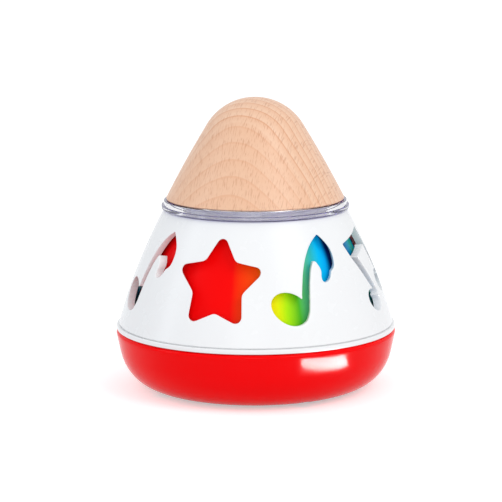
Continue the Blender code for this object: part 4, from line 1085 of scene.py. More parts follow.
@dataclass(frozen=True)
class ScrewPattern:
    """Where the base screws stand, and the ears round them in the ring and in the shell."""

    circle: float = 0.0440
    azimuths: tuple[float, ...] = (135.0, 225.0, 315.0, 45.0)
    ear_radius: float = 0.0054
    ear_inset: float = 0.0002

    def places(self) -> list[Point]:
        """Return the places of the screws, in the CAD's order."""
        return round_about(self.circle, self.azimuths)


@dataclass
class Base:
    """The red bowl with its feet and screws, and the white ring on it."""

    screws: ScrewPattern = field(default_factory=ScrewPattern)
    facets: int = 160
    floor_steps: int = 16
    rim_steps: int = 10
    bend_steps: int = 8
    side_steps: int = 40
    foot_radius: float = 0.0380
    side_radius: float = 0.0585
    rim_radius: float = 0.0600
    bottom: float = 0.0005
    corner_height: float = 0.0165
    height: float = 0.0253
    side_pull: float = 0.0085
    foot_pull: float = 0.0130
    wall: float = 0.0025
    rim_round: float = 0.0014
    trim_radius: float = 0.0598
    trim_mouth: float = 0.0480
    trim_bottom: float = 0.0261
    trim_top: float = 0.0280
    trim_round: float = 0.0004
    tongue_radius: float = 0.0580
    tongue_top: float = 0.02825
    ear_hole: float = 0.0037
    well_radius: float = 0.0031
    screw_seat: float = 0.0080
    post_radius: float = 0.0042
    post_root: float = 0.0043
    post_top: float = 0.0160
    head_radius: float = 0.0028
    head_bottom: float = 0.0059
    head_top: float = 0.0077
    head_round: float = 0.0011
    head_edge: float = 0.0002
    shank_radius: float = 0.0014
    shank_top: float = 0.0217
    recess_length: float = 0.0032
    recess_width: float = 0.0007
    recess_depth: float = 0.0011
    pad_circle: float = 0.0310
    pad_azimuths: tuple[float, ...] = (90.0, 180.0, 270.0, 0.0)
    pad_radius: float = 0.0050
    pad_height: float = 0.0018
    pad_round: float = 0.0004
    pad_facets: int = 48
    groove_radius: float = 0.00275
    groove_half: float = 0.0005
    groove_depth: float = 0.0003
    pocket_radius: float = 0.0053
    pocket_top: float = 0.0021
    plate_circle: float = 0.0340
    plate_azimuths: tuple[float, ...] = (150.0, 270.0, 30.0)
    plate_post_radius: float = 0.0036
    plate_post_top: float = 0.0090

    def bowl_profile(self) -> list[Point]:
        """Draw the bowl's profile.

        Returns:
            Its points, from the middle of the floor inside over the rim to the middle below.
        """
        side_bottom = self.bottom + self.corner_height
        top = self.bottom + self.height
        reach = self.side_radius - self.foot_radius
        inner = [
            (
                self.foot_radius + (reach - self.wall) * math.cos(a),
                side_bottom - (self.corner_height - self.wall) * math.sin(a),
            )
            for a in spread(math.pi / 2, 0.0, self.floor_steps)
        ]
        bend = top - self.rim_round
        lean = Vector((self.side_radius - self.rim_radius, side_bottom - bend)).normalized()
        start = Vector((self.side_radius, side_bottom))
        end = Vector((self.foot_radius, self.bottom))
        start_pull = start + lean * self.side_pull
        end_pull = end + Vector((self.foot_pull, 0.0))
        side = interpolate_bezier(start, start_pull, end_pull, end, self.side_steps)
        outer = [tuple(point) for point in side]
        rim = [
            (
                self.rim_radius - self.rim_round * (1 - math.cos(a)),
                bend + self.rim_round * math.sin(a),
            )
            for a in spread(math.pi / 2, math.asin(lean.x), self.rim_steps)
        ]
        last = Vector(rim[-1])
        shares = spread(0.0, 1.0, self.bend_steps)[1:-1]
        rim += [tuple(last.lerp(start, share)) for share in shares]
        mouth = [(self.rim_radius - self.wall, side_bottom), (self.rim_radius - self.wall, top)]
        return [(0.0, self.bottom + self.wall), *inner, *mouth, *rim, *outer, (0.0, self.bottom)]

    def build_bowl(self) -> None:
        """Make the bowl, with the posts inside and the wells and pockets below."""
        sketch = Sketch()
        sketch.turn(self.bowl_profile(), self.facets, ring=False)
        bowl = sketch.piece("bowl")
        below = self.bottom - self.wall
        floor = self.bottom + self.wall / 2
        screws = self.screws.places()
        plates = round_about(self.plate_circle, self.plate_azimuths)
        pads = round_about(self.pad_circle, self.pad_azimuths)
        steps = (
            (Cut.JOIN, self.post_radius, self.post_root, self.post_top, screws),
            (Cut.JOIN, self.plate_post_radius, floor, self.plate_post_top, plates),
            (Cut.REMOVE, self.well_radius, below, self.screw_seat, screws),
            (Cut.REMOVE, self.pocket_radius, below, self.pocket_top, pads),
        )
        tools = []
        for cut, radius, low, high, centres in steps:
            tools += [(cut, post(radius, low, high, centre)) for centre in centres]
        carve(bowl, tools)
        mount(bowl, Body.BASE, "base_bowl", "red_plastic", RED)

    def build_trim(self) -> None:
        """Make the white ring on the bowl's rim, with ears round the shell's bosses."""
        sketch = Sketch()
        corners = (
            (self.trim_mouth, self.tongue_top, 0.0),
            (self.tongue_radius, self.tongue_top, 0.0),
            (self.tongue_radius, self.trim_top, 0.0),
            (self.trim_radius, self.trim_top, self.trim_round),
            (self.trim_radius, self.trim_bottom, self.trim_round),
            (self.trim_mouth, self.trim_bottom, 0.0),
        )
        sketch.turn(rounded(corners), self.facets)
        ears = Sketch()
        ear_top = self.trim_top - self.screws.ear_inset
        ear_bottom = self.trim_bottom + self.screws.ear_inset
        ear = (
            (self.ear_hole, ear_top),
            (self.screws.ear_radius, ear_top),
            (self.screws.ear_radius, ear_bottom),
            (self.ear_hole, ear_bottom),
        )
        for place in self.screws.places():
            ears.turn(ear, SMALL_FACETS, place)
        trim = sketch.piece("trim")
        carve(trim, [(Cut.JOIN, ears)])
        mount(trim, Body.BASE, "trim_ring", "white_plastic", WHITE)

    def build_screws(self) -> None:
        """Make the pan-head screws with crossed recesses."""
        profile = rounded(
            [
                (0.0, self.head_bottom, 0.0),
                (self.head_radius, self.head_bottom, self.head_round),
                (self.head_radius, self.head_top, self.head_edge),
                (self.shank_radius, self.head_top, 0.0),
                (self.shank_radius, self.shank_top - self.shank_radius, 0.0),
                (0.0, self.shank_top, 0.0),
            ]
        )
        for i, (x, y) in enumerate(self.screws.places(), 1):
            sketch = Sketch()
            sketch.turn(profile, SMALL_FACETS, (x, y), ring=False)
            screw = sketch.piece(f"base_fastener_{i}")
            tools = []
            for length, width in (
                (self.recess_length, self.recess_width),
                (self.recess_width, self.recess_length),
            ):
                slot = Sketch()
                slot.block(
                    (x - length / 2, y - width / 2, self.head_bottom - self.recess_depth),
                    (x + length / 2, y + width / 2, self.head_bottom + self.recess_depth),
                )
                tools.append((Cut.REMOVE, slot))
            carve(screw, tools)
            mount(screw, Body.BASE, f"base_screw_{i}", "zinc_steel", ZINC)

    def build_pads(self) -> None:
        """Make the rubber feet, with eased edges and a round groove below."""
        profile = rounded(
            [
                (0.0, self.pad_height, 0.0),
                (self.pad_radius, self.pad_height, self.pad_round),
                (self.pad_radius, 0.0, self.pad_round),
                (self.groove_radius + self.groove_half, 0.0, 0.0),
                (self.groove_radius, self.groove_depth, 0.0),
                (self.groove_radius - self.groove_half, 0.0, 0.0),
                (0.0, 0.0, 0.0),
            ]
        )
        for i, place in enumerate(round_about(self.pad_circle, self.pad_azimuths), 1):
            sketch = Sketch()
            sketch.turn(profile, self.pad_facets, place, ring=False)
            mount(sketch.piece(f"pad_{i}"), Body.BASE, f"foot_pad_{i}", "grey_rubber", RUBBER)

    def build(self) -> None:
        """Make every piece of the base."""
        self.build_bowl()
        self.build_trim()
        self.build_screws()
        self.build_pads()


@dataclass(frozen=True)
class ShellCurve:
    """The gently bulging cone that the shell and the drum share."""

    foot_radius: float = 0.0589
    top_radius: float = 0.0390
    bottom: float = 0.0283
    height: float = 0.0492
    swell: float = 0.0016

    def radius(self, z: float) -> float:
        """Work out the shell's outer radius.

        Args:
            z: The height.

        Returns:
            The radius at that height.
        """
        share = (z - self.bottom) / self.height
        straight = self.foot_radius + (self.top_radius - self.foot_radius) * share
        return straight + bulge(self.swell, share)


@dataclass
class Window:
    """One window of the shell, drawn flat as it faces outwards."""

    shape: WindowShape
    azimuth: float
    lean: float
    spacing: float = 0.00036
    passes: int = 2
    star_points: int = 5
    star_steps: int = 10
    star_tip: float = 0.0202
    star_notch: float = 0.0111
    star_tip_round: float = 0.0024
    star_notch_round: float = 0.0032
    star_rise: float = -0.0006
    note_head: tuple[float, float, float] = (0.0080, 0.0062, -28.0)
    note_head_place: Point = (-0.0106, -0.0102)
    note_head_steps: int = 72
    note_steps: int = 12
    note_corners: tuple[int, ...] = (0, 5, 10, 24)
    note_stem: tuple[Point, ...] = (
        (-0.0054, -0.0076),
        (-0.0039, -0.0008),
        (-0.0022, 0.0050),
        (0.0007, 0.0110),
        (0.0036, 0.0148),
        (0.0075, 0.0179),
        (0.0104, 0.0149),
        (0.0127, 0.0114),
        (0.0134, 0.0076),
        (0.0128, 0.0045),
        (0.0109, 0.0030),
        (0.0101, 0.0010),
        (0.0083, -0.0007),
        (0.0063, -0.0006),
        (0.0056, 0.0010),
        (0.0060, 0.0036),
        (0.0049, 0.0064),
        (0.0034, 0.0078),
        (0.0020, 0.0062),
        (0.0001, 0.0012),
        (-0.0012, -0.0046),
        (-0.0020, -0.0090),
        (-0.0030, -0.0128),
        (-0.0056, -0.0156),
        (-0.0086, -0.0120),
    )
    beam_head: tuple[float, float, float] = (0.0058, 0.0044, -25.0)
    beam_head_steps: int = 60
    beam_head_places: tuple[Point, ...] = ((-0.0043, -0.0121), (0.0105, -0.0062))
    beam: tuple[Point, ...] = (
        (-0.0134, 0.0124),
        (0.0068, 0.0170),
        (0.0160, -0.0042),
        (0.0128, -0.0055),
        (0.0066, 0.0095),
        (-0.0066, 0.0063),
        (0.0020, -0.0105),
        (-0.0016, -0.0112),
        (-0.0117, 0.0070),
    )

    def star(self) -> list[Point]:
        """Draw a plump star with eased tips.

        Returns:
            The points of its outline.
        """
        corners = []
        for i in range(2 * self.star_points):
            tip = i % 2 == 0
            radius = self.star_tip if tip else self.star_notch
            ease = self.star_tip_round if tip else self.star_notch_round
            angle = math.pi / 2 + math.pi * i / self.star_points
            x, y = radius * math.cos(angle), radius * math.sin(angle)
            corners.append((x, self.star_rise + y, ease))
        return rounded(corners, self.star_steps)

    def note(self) -> list[Point]:
        """Return a single note: a tilted head and a stem with a flag."""
        head = ellipse(*self.note_head, self.note_head_place, self.note_head_steps)
        return merged((head, bezier(self.note_stem, self.note_corners, self.note_steps)))

    def double_note(self) -> list[Point]:
        """Return two notes joined by a beam."""
        places, steps = self.beam_head_places, self.beam_head_steps
        return merged((*(ellipse(*self.beam_head, at, steps) for at in places), self.beam))

    def outline(self) -> np.ndarray:
        """Draw the window.

        Returns:
            The points of its outline, anticlockwise and evenly spaced.
        """
        drawn = {
            WindowShape.STAR: self.star,
            WindowShape.NOTE: self.note,
            WindowShape.DOUBLE_NOTE: self.double_note,
        }[self.shape]()
        return evened(drawn, self.spacing, self.passes)


@dataclass
class Shell:
    """The white cone with its flanges and eight windows."""

    curve: ShellCurve = field(default_factory=ShellCurve)
    screws: ScrewPattern = field(default_factory=ScrewPattern)
    facets: int = 96
    rows: int = 20
    wall: float = 0.0034
    foot_edge: float = 0.0006
    foot_round: float = 0.00042
    top_edge: float = 0.0004
    top_round: float = 0.00036
    mouth_round: float = 0.0004
    flange_round: float = 0.0003
    mouth: float = 0.0320
    top_flange: float = 0.0025
    foot_mouth: float = 0.0480
    foot_flange: float = 0.0018
    window_middle: float = 0.0535
    window_edge: float = 0.0004
    edge_turns: tuple[float, ...] = (30.0, 60.0, 90.0)
    window_flare: float = 0.0005
    web: float = 0.0005
    support: float = 0.0011
    support_room: float = 0.9
    clear: float = 0.0017
    boss_radius: float = 0.0034
    boss_bottom: float = 0.0163
    pilot_radius: float = 0.0017
    pilot_top: float = 0.0220
    flat_radius: float = 0.0500
    # A whole number of facets from the front, so that the skins meet the flanges corner to corner.
    seam: float = -112.5
    windows: tuple[Window, ...] = (
        *(Window(WindowShape.STAR, a, lean=-0.0009) for a in (0.0, 180.0)),
        *(Window(WindowShape.NOTE, a, lean=0.0006) for a in (45.0, 135.0, 225.0, 315.0)),
        *(Window(WindowShape.DOUBLE_NOTE, a, lean=-0.0009) for a in (90.0, 270.0)),
    )

    def wrapped(self, window: Window, points: np.ndarray, depth: float) -> np.ndarray:
        """Return where flat window points lie on the cone.

        Args:
            window: The window that the points belong to.
            points: Rows of the distance to the right and the height above the window's middle.
            depth: How far inside the outer surface they lie.

        Returns:
            Rows of azimuth in radians and height.
        """
        heights = self.window_middle + points[:, 1]
        radii = np.array([self.curve.radius(z) - depth for z in heights])
        azimuth = math.radians(window.azimuth)
        seam = math.radians(self.seam)
        turned = azimuth + np.arcsin(points[:, 0] / radii)
        return np.column_stack([(turned - seam) % math.tau + seam, heights])

    def leaning(self, outlines: Sequence[tuple[Window, np.ndarray]]) -> list[np.ndarray]:
        """Return the windows' inner edges, a little wider and shifted sideways.

        Args:
            outlines: Each window with its flat outline.

        Returns:
            Each inner edge as rows of azimuth and height, with a web left to its neighbours.
        """
        flat = np.array([self.flat_radius, 1.0])
        straight = [self.wrapped(w, line, self.wall) * flat for w, line in outlines]
        turn = np.array([math.tau * self.flat_radius, 0.0])
        edges = []
        for i, (window, line) in enumerate(outlines):
            rest = np.vstack(straight[:i] + straight[i + 1 :])
            others = np.vstack([rest - turn, rest, rest + turn])
            room = (nearest(straight[i], others) - self.web) / 2
            reach = abs(window.lean) + self.window_flare
            share = np.clip(room, 0.0, reach)[:, None] / reach
            moved = line + share * (reaches(line, self.window_flare) + np.array([window.lean, 0.0]))
            edges.append(self.wrapped(window, moved, self.wall))
        return edges

    def place(self, at: np.ndarray, depth: float) -> tuple[float, float, float]:
        """Return the place of an azimuth and height at a depth inside the outer surface."""
        return on_circle(self.curve.radius(at[1]) - depth, at[0], at[1])

    def skin(
        self,
        sketch: Sketch,
        depth: float,
        low: float,
        high: float,
        holes: Sequence[np.ndarray],
        supports: np.ndarray,
    ) -> list[list[int]]:
        """Draw the cone's surface at a depth, with a hole for each window.

        Args:
            sketch: The sketch to draw in.
            depth: How far inside the outer surface it lies.
            low: Its lower edge's height.
            high: Its upper edge's height.
            holes: Each hole's edge as rows of azimuth and height.
            supports: Further points to pass through, as rows of azimuth and height.

        Returns:
            The corner numbers of each hole's edge, in order.
        """
        flat = np.array([self.flat_radius, 1.0]) * PER_METRE
        start = math.radians(self.seam)
        columns = spread(start, start + math.tau, self.facets)
        rows = spread(low, high, self.rows)
        edge = [(a, low) for a in columns]
        edge += [(columns[-1], z) for z in rows[1:]]
        edge += [(a, high) for a in reversed(columns[:-1])]
        edge += [(columns[0], z) for z in reversed(rows[1:-1])]
        grid = np.array([(a, z) for a in columns[1:-1] for z in rows[1:-1]])
        all_holes = np.vstack(holes)
        free = np.ones(len(grid), bool)
        for hole in holes:
            free &= ~inside(grid, hole)
        grid = grid[free]
        grid = grid[nearest(grid * flat, all_holes * flat) > self.clear * PER_METRE]
        loops = [np.array(edge), *holes]
        points = np.vstack([*loops, supports, grid])
        sides: list[tuple[int, int]] = []
        starts = []
        count = 0
        for loop in loops:
            starts.append(count)
            sides += [(count + i, count + (i + 1) % len(loop)) for i in range(len(loop))]
            count += len(loop)
        flattened = [Vector(point) for point in points * flat]
        places, _, triangles, origins, *_ = delaunay_2d_cdt(flattened, sides, [], 0, SKIN_TOLERANCE)
        numbers = [sketch.corner(self.place(np.array(place) / flat, depth)) for place in places]
        number_of = {origin: number for number, from_ in zip(numbers, origins) for origin in from_}
        flat_places = np.array([tuple(place) for place in places])
        middles = np.array([flat_places[list(face)].mean(axis=0) for face in triangles])
        hidden = np.zeros(len(middles), bool)
        for hole in holes:
            hidden |= inside(middles, hole * flat)
        for face, drop in zip(triangles, hidden):
            if not drop:
                sketch.face([numbers[i] for i in face])
        rims = []
        for first, hole in zip(starts[1:], holes):
            rims.append([number_of[first + i] for i in range(len(hole))])
        return rims

    def draw_walls(self, sketch: Sketch, low: float, high: float, inner: Point) -> None:
        """Draw both skins of the cone and the walls of the windows, with eased outer edges.

        Args:
            sketch: The sketch to draw in.
            low: The height of the outer skin's lower edge.
            high: The height of the outer skin's upper edge.
            inner: The same two heights of the inner skin.
        """
        outlines = [(window, window.outline()) for window in self.windows]
        ease = self.window_edge
        eased = [reaches(line, ease) for _, line in outlines]
        outer_edges = []
        supports = []
        for (window, line), move in zip(outlines, eased):
            beside = line + self.support * outward(line)
            outer_edges.append(self.wrapped(window, line + move, 0.0))
            supports.append(self.wrapped(window, beside, 0.0)[::2])
        flat = np.array([self.flat_radius, 1.0])
        around = np.vstack(supports)
        gaps = nearest(around * flat, np.vstack(outer_edges) * flat)
        around = around[gaps > (self.support - ease) * self.support_room]
        outer_rims = self.skin(sketch, 0.0, low, high, outer_edges, around)
        inner_edges = self.leaning(outlines)
        inner_rims = self.skin(sketch, self.wall, *inner, inner_edges, np.empty((0, 2)))
        rims = zip(outlines, eased, outer_rims, inner_rims)
        for (window, line), move, rim, inner_rim in rims:
            for turn in map(math.radians, self.edge_turns):
                depth = ease * (1 - math.cos(turn))
                at = self.wrapped(window, line + (1 - math.sin(turn)) * move, depth)
                after = [sketch.corner(self.place(row, depth)) for row in at]
                sketch.strip(rim, after)
                rim = after
            sketch.strip(rim, inner_rim)

    def bosses(self, ear_bottom: float, ear_top: float) -> Sketch:
        """Draw the bosses for the base screws, each with an ear round it and a pilot hole.

        Args:
            ear_bottom: The height of the ears' lower faces.
            ear_top: The height of the ears' upper faces.

        Returns:
            The drawing.
        """
        sketch = Sketch()
        profile = [
            (0.0, ear_top),
            (self.screws.ear_radius, ear_top),
            (self.screws.ear_radius, ear_bottom),
            (self.boss_radius, ear_bottom),
            (self.boss_radius, self.boss_bottom),
            (self.pilot_radius, self.boss_bottom),
            (self.pilot_radius, self.pilot_top),
            (0.0, self.pilot_top),
        ]
        for place in self.screws.places():
            sketch.turn(profile, SMALL_FACETS, place, ring=False)
        return sketch

    def build(self) -> None:
        """Make the shell: its walls with the windows, both flanges and the bosses."""
        sketch = Sketch()
        bottom = self.curve.bottom
        top = bottom + self.curve.height
        low, high = bottom + self.foot_edge, top - self.top_edge
        inner_low, inner_high = bottom + self.foot_flange, top - self.top_flange
        self.draw_walls(sketch, low, high, (inner_low, inner_high))
        radius = self.curve.radius
        foot = rounded(
            [
                (radius(low), low, 0.0),
                (radius(bottom), bottom, self.foot_round),
                (self.foot_mouth, bottom, self.flange_round),
                (self.foot_mouth, inner_low, self.flange_round),
                (radius(inner_low) - self.wall, inner_low, 0.0),
            ]
        )
        head = rounded(
            [
                (radius(high), high, 0.0),
                (radius(top), top, self.top_round),
                (self.mouth, top, self.mouth_round),
                (self.mouth, inner_high, self.flange_round),
                (radius(inner_high) - self.wall, inner_high, 0.0),
            ]
        )
        sketch.turn(foot, self.facets, ring=False)
        sketch.turn(head, self.facets, ring=False)
        inset = self.screws.ear_inset
        shell = sketch.piece("shell")
        carve(shell, [(Cut.JOIN, self.bosses(bottom + inset, inner_low - inset))])
        mount(shell, Body.BASE, "outer_shell", "white_plastic", WHITE)


@dataclass
class Crown:
    """All that turns and shows: the drum, the carrier, the clear collar and the wooden top."""

    curve: ShellCurve = field(default_factory=ShellCurve)
    facets: int = 160
    drum_inset: float = 0.0050
    drum_wall: float = 0.0012
    drum_bottom: float = 0.0310
    drum_flange_bottom: float = 0.0709
    drum_flange_top: float = 0.0721
    drum_eye: float = 0.0120
    drum_steps: int = 24
    disc_bottom: float = 0.0724
    disc_top: float = 0.0746
    disc_radius: float = 0.0339
    carrier_radius: float = 0.0316
    carrier_wall: float = 0.0024
    carrier_top: float = 0.0813
    carrier_round: float = 0.0003
    carrier_steps: int = 4
    hub_radius: float = 0.0070
    hub_bottom: float = 0.0624
    hub_eye: float = 0.0033
    column_radius: float = 0.0036
    column_circle: float = 0.0200
    column_azimuths: tuple[float, ...] = (180.0, 300.0, 60.0)
    collar_inner: float = 0.0319
    collar_foot: float = 0.0401
    collar_print: float = 0.0366
    collar_waist: float = 0.0394
    collar_head: float = 0.0390
    collar_bottom: float = 0.0779
    collar_step: float = 0.0794
    collar_top: float = 0.08155
    collar_round: float = 0.0004
    top_radius: float = 0.0380
    top_bottom: float = 0.0816
    top_height: float = 0.0434
    top_dome: float = 0.0240
    top_swell: float = 0.0004
    top_edge: float = 0.0006
    dome_steps: int = 30
    side_steps: int = 20
    edge_steps: int = 6
    socket_radius: float = 0.0033
    socket_top: float = 0.0899

    def build_drum(self) -> None:
        """Make the printed cone that turns behind the windows, its print holding painted shade."""

        def radius(z: float) -> float:
            """Return the drum's outer radius at a height."""
            return self.curve.radius(z) - self.drum_inset

        outer = spread(self.disc_top, self.drum_bottom, self.drum_steps)
        inner = spread(self.drum_bottom, self.drum_flange_bottom, self.drum_steps)
        profile = [(radius(z), z) for z in outer]
        profile += [(radius(z) - self.drum_wall, z) for z in inner]
        profile += [
            (self.drum_eye, self.drum_flange_bottom),
            (self.drum_eye, self.drum_flange_top),
            (radius(self.drum_flange_top) - self.drum_wall, self.drum_flange_top),
            (radius(self.disc_top) - self.drum_wall, self.disc_top),
        ]
        sketch = Sketch()
        sketch.turn(profile, self.facets)
        mount(sketch.piece("drum"), Body.ROTOR, "rainbow_drum", "rainbow_plastic", PRINT_AND_PAINTED_SHADE)

    def build_carrier(self) -> None:
        """Make the lilac carrier that shows through the collar."""
        inside_wall = self.carrier_radius - self.carrier_wall
        ease = self.carrier_round
        profile = rounded(
            [
                (self.hub_eye, self.carrier_top, 0.0),
                (self.hub_radius, self.carrier_top, ease),
                (self.hub_radius, self.disc_top, ease),
                (inside_wall, self.disc_top, ease),
                (inside_wall, self.carrier_top, ease),
                (self.carrier_radius, self.carrier_top, ease),
                (self.carrier_radius, self.disc_top, 0.0),
                (self.disc_radius, self.disc_top, ease),
                (self.disc_radius, self.disc_bottom, ease),
                (self.hub_radius, self.disc_bottom, ease),
                (self.hub_radius, self.hub_bottom, ease),
                (self.hub_eye, self.hub_bottom, 0.0),
            ],
            self.carrier_steps,
        )
        sketch = Sketch()
        sketch.turn(profile, self.facets)
        columns = [
            (Cut.JOIN, post(self.column_radius, self.disc_top - ease, self.carrier_top, place))
            for place in round_about(self.column_circle, self.column_azimuths)
        ]
        carrier = sketch.piece("carrier")
        carve(carrier, columns)
        mount(carrier, Body.ROTOR, "turntable", "lilac_plastic", LILAC)

    def build_collar(self) -> None:
        """Make the clear ring with its wider foot and the indigo line printed underneath."""
        ease = self.collar_round
        profile = rounded(
            [
                (self.collar_inner, self.collar_bottom, 0.0),
                (self.collar_inner, self.collar_top, 0.0),
                (self.collar_head, self.collar_top, ease),
                (self.collar_waist, self.collar_step, ease / 2),
                (self.collar_foot, self.collar_step, ease / 2),
                (self.collar_foot, self.collar_bottom, ease / 2),
                (self.collar_print, self.collar_bottom, 0.0),
            ]
        )
        # The second coat lies on the band that ends at the last point of the profile.
        coats = [0] * len(profile)
        coats[-2] = 1
        sketch = Sketch()
        sketch.turn(profile, self.facets, coats=coats)
        mount(sketch.piece("collar"), Body.ROTOR, "clear_collar", "clear_plastic", CLEAR, INDIGO)

    def wood_profile(self) -> list[Point]:
        """Draw the wooden top's profile: a dome, a nearly straight side and an eased lower edge.

        Returns:
            Its points, from the crest down to the socket below.
        """
        crest = self.top_bottom + self.top_height
        centre = crest - self.top_dome
        drop = self.top_bottom - centre
        reach = math.hypot(self.top_radius, drop)
        tangent = math.atan2(drop, self.top_radius) + math.acos(self.top_dome / reach)
        dome = [
            (self.top_dome * math.cos(a), centre + self.top_dome * math.sin(a))
            for a in spread(math.pi / 2, tangent, self.dome_steps)[1:]
        ]
        start, end = dome[-1], (self.top_radius, self.top_bottom + self.top_edge)
        side = [
            (
                start[0] + (end[0] - start[0]) * share + bulge(self.top_swell, share),
                start[1] + (end[1] - start[1]) * share,
            )
            for share in spread(0.0, 1.0, self.side_steps)[1:]
        ]
        edge = [
            (
                self.top_radius - self.top_edge * (1 - math.cos(a)),
                self.top_bottom + self.top_edge * (1 - math.sin(a)),
            )
            for a in spread(0.0, math.pi / 2, self.edge_steps)[1:]
        ]
        socket = [
            (self.socket_radius, self.top_bottom),
            (self.socket_radius, self.socket_top),
            (0.0, self.socket_top),
        ]
        return [(0.0, crest), *dome, *side, *edge, *socket]

    def build_top(self) -> None:
        """Make the beech winding knob."""
        sketch = Sketch()
        sketch.turn(self.wood_profile(), self.facets, ring=False)
        mount(sketch.piece("knob"), Body.ROTOR, "wooden_top", "beech", BEECH)

    def build(self) -> None:
        """Make every piece of the crown."""
        self.build_drum()
        self.build_carrier()
        self.build_collar()
        self.build_top()


@dataclass
class Movement:
    """The clockwork inside, which keeps its CAD shapes apart from the click's leaf spring."""

    leaf_lengths: int = 18
    leaf_contact: float = 0.0020

    def build_leaf(self) -> None:
        """Make the click's leaf in short lengths."""
        low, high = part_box("click_spring")
        section = ((low.x, low.z), (high.x, low.z), (high.x, high.z), (low.x, high.z))
        sketch = Sketch()
        rows = []
        for y in np.linspace(low.y, high.y, self.leaf_lengths + 1):
            rows.append([sketch.corner((x, y, z)) for x, z in section])
        for first, second in zip(rows, rows[1:]):
            sketch.strip(first, second)
        sketch.face(rows[0])
        sketch.face(rows[-1])
        leaf = sketch.piece("click_leaf")
        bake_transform(leaf)
        stand_in(leaf, "click_spring", "blued_steel", BLUED)

    def dress(self) -> None:
        """Give each CAD node that still shows the finish of its material slot."""
        for row in frame["record"]["subparts"]:
            node = frame["nodes"][row["node"]]
            if node.hide_render:
                continue
            finish = FINISHES[row["material_slot"]]
            for slot in node.material_slots:
                slot.material = finish.material()
            LOG.info("%s is finished in %s", node.name, finish.name)

    def build(self) -> None:
        """Make the leaf spring and dress the rest."""
        self.build_leaf()
        self.dress()


def soft_box(name: str, size: Point, power: float, colour: Colour) -> bpy.types.Object:
    """Make a lamp that shines from a rectangle.

    Args:
        name: Its name.
        size: Its width and height.
        power: Its power in watts.
        colour: The colour of its light.

    Returns:
        The lamp, linked to the scene at the origin.
    """
    light = bpy.data.lights.new(name, "AREA")
    light.shape = "RECTANGLE"
    light.size, light.size_y = size
    light.energy = power
    light.color = colour
    lamp = bpy.data.objects.new(name, light)
    bpy.context.scene.collection.objects.link(lamp)
    return lamp


@dataclass
class Lamp:
    """Where one soft box stands round the toy, and its light."""

    name: str
    azimuth: float
    elevation: float
    distance: float
    width: float
    height: float
    power: float
    colour: Colour = (1.0, 1.0, 1.0)

    def build(self, aim: Vector) -> None:
        """Make the lamp.

        Args:
            aim: The point that it is turned towards.
        """
        lamp = soft_box(self.name, (self.width, self.height), self.power, self.colour)
        rise = math.radians(self.elevation)
        flat = self.distance * math.cos(rise)
        height = self.distance * math.sin(rise)
        along = Vector(on_circle(flat, math.radians(self.azimuth), height))
        lamp.location = aim + along
        lamp.rotation_euler = along.to_track_quat("Z", "Y").to_euler()


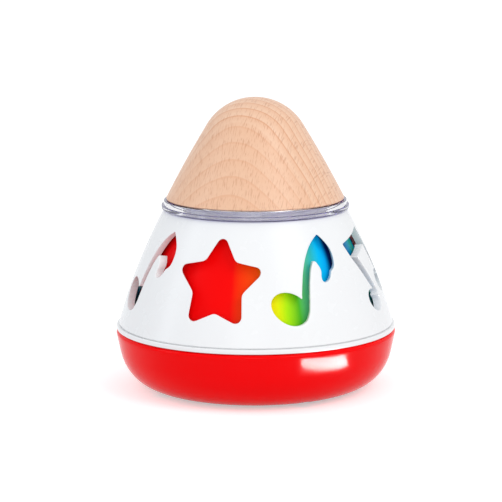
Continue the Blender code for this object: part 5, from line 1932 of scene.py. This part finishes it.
@dataclass
class Studio:
    """The pale floor, the soft light and the camera."""

    floor_half: float = 6.0
    floor_drop: float = 0.0001
    floor_colour: Colour = (0.80, 0.80, 0.80)
    floor_shown: Colour = (0.90, 0.90, 0.90)
    floor_glow: float = 0.46
    sky: Colour = (0.95, 0.975, 1.0)
    sky_strength: float = 0.74
    seen_white: Colour = (1.0, 1.0, 1.0)
    aim: tuple[float, float, float] = (0.0, 0.0, 0.055)
    camera_distance: float = 1.0
    camera_height: float = 0.2316
    camera_pitch: float = 9.81
    camera_roll: float = -0.27
    focal_pixels: float = 2366.0
    axis_column: float = 255.5
    lamps: tuple[Lamp, ...] = (
        Lamp("key", CAMERA_AZIMUTH + 42.0, 38.0, 0.9, 0.5, 0.5, 2.1, (1.0, 0.99, 0.97)),
        Lamp("left_strip", CAMERA_AZIMUTH - 80.0, 22.0, 0.9, 0.2, 0.6, 0.8, (0.86, 0.93, 1.0)),
        Lamp("front_fill", CAMERA_AZIMUTH - 6.0, 14.0, 1.0, 0.5, 0.5, 1.0),
    )
    card_place: tuple[float, float, float] = (0.0752, -0.0445, 0.0005)
    card_size: tuple[float, float] = (0.0100, 0.0460)
    card_turn: float = -27.0
    card_power: float = 0.22
    card_colour: Colour = (1.0, 1.0, 1.0)

    def seen(self, tree: bpy.types.NodeTree) -> bpy.types.NodeSocket:
        """Return a factor that is 1 for rays that show a thing and 0 for rays that light one.

        Args:
            tree: The node tree of the floor or of the world.

        Returns:
            The factor's socket.
        """
        path = tree.nodes.new("ShaderNodeLightPath")
        total = path.outputs["Is Camera Ray"]
        for name in ("Is Glossy Ray", "Is Transmission Ray"):
            node = tree.nodes.new("ShaderNodeMath")
            node.operation = "MAXIMUM"
            tree.links.new(total, node.inputs[0])
            tree.links.new(path.outputs[name], node.inputs[1])
            total = node.outputs[0]
        return total

    def choose(
        self, tree: bpy.types.NodeTree, lit: bpy.types.Node, shown: bpy.types.Node, kind: str
    ) -> None:
        """Let a tree give one shader to the light and another to the eye.

        Args:
            tree: The node tree of the floor or of the world.
            lit: The shader for rays that light a thing.
            shown: The shader for rays that show one.
            kind: The type of the tree's output node.
        """
        choice = tree.nodes.new("ShaderNodeMixShader")
        tree.links.new(self.seen(tree), choice.inputs[0])
        tree.links.new(lit.outputs[0], choice.inputs[1])
        tree.links.new(shown.outputs[0], choice.inputs[2])
        output = tree.nodes.new(kind)
        tree.links.new(choice.outputs[0], output.inputs["Surface"])

    def build_floor(self) -> None:
        """Make the floor: white where it is seen in full light, with the toy's soft shadow."""
        sketch = Sketch()
        half = self.floor_half
        corners = ((-half, -half), (half, -half), (half, half), (-half, half))
        sketch.face([sketch.corner((x, y, -self.floor_drop)) for x, y in corners])
        floor = sketch.piece("floor")
        material = bpy.data.materials.new("floor_paint")
        material.use_nodes = True
        tree = material.node_tree
        tree.nodes.clear()
        plain = tree.nodes.new("ShaderNodeBsdfDiffuse")
        plain.inputs["Color"].default_value = (*self.floor_colour, 1.0)
        shown = tree.nodes.new("ShaderNodeBsdfDiffuse")
        shown.inputs["Color"].default_value = (*self.floor_shown, 1.0)
        glow = tree.nodes.new("ShaderNodeEmission")
        glow.inputs["Strength"].default_value = self.floor_glow
        both = tree.nodes.new("ShaderNodeAddShader")
        tree.links.new(shown.outputs[0], both.inputs[0])
        tree.links.new(glow.outputs[0], both.inputs[1])
        self.choose(tree, plain, both, "ShaderNodeOutputMaterial")
        floor.data.materials.append(material)

    def build_sky(self) -> None:
        """Make the world: white where it is seen, softer where it lights."""
        world = bpy.data.worlds.new("studio")
        world.use_nodes = True
        tree = world.node_tree
        tree.nodes.clear()
        light = tree.nodes.new("ShaderNodeBackground")
        light.inputs["Color"].default_value = (*self.sky, 1.0)
        light.inputs["Strength"].default_value = self.sky_strength
        white = tree.nodes.new("ShaderNodeBackground")
        white.inputs["Color"].default_value = (*self.seen_white, 1.0)
        self.choose(tree, light, white, "ShaderNodeOutputWorld")
        bpy.context.scene.world = world

    def build_card(self) -> None:
        """Make the small glowing card beside the toy, which shows only as a gleam on the bowl."""
        card = soft_box("card", self.card_size, self.card_power, self.card_colour)
        card.location = self.card_place
        card.rotation_euler = (math.pi, 0.0, math.radians(self.card_turn))
        card.visible_camera = False
        card.visible_diffuse = False
        card.visible_transmission = False

    def build_camera(self) -> None:
        """Make the camera at the photograph's viewing angle."""
        data = bpy.data.cameras.new("camera")
        data.sensor_width = SENSOR_WIDTH
        data.lens = self.focal_pixels / PHOTO_PIXELS * SENSOR_WIDTH
        data.shift_x = -(self.axis_column - PHOTO_PIXELS / 2) / PHOTO_PIXELS
        camera = bpy.data.objects.new("camera", data)
        azimuth = math.radians(CAMERA_AZIMUTH)
        camera.location = on_circle(self.camera_distance, azimuth, self.camera_height)
        turn = Euler((math.radians(90.0 - self.camera_pitch), 0.0, azimuth)).to_matrix()
        roll = Matrix.Rotation(math.radians(self.camera_roll), 3, "Z")
        camera.rotation_euler = (turn @ roll).to_euler()
        bpy.context.scene.collection.objects.link(camera)
        bpy.context.scene.camera = camera

    def build(self) -> None:
        """Make the floor, the world, the lamps, the card and the camera."""
        bpy.context.scene.view_settings.view_transform = "Standard"
        self.build_floor()
        self.build_sky()
        for lamp in self.lamps:
            lamp.build(Vector(self.aim))
        self.build_card()
        self.build_camera()


def main() -> None:
    """Build the studio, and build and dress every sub-assembly."""
    logging.basicConfig(level=logging.INFO, format="%(name)s: %(message)s")
    Studio().build()
    Base().build()
    Shell().build()
    Crown().build()
    Movement().build()


if __name__ == "__main__":
    main()
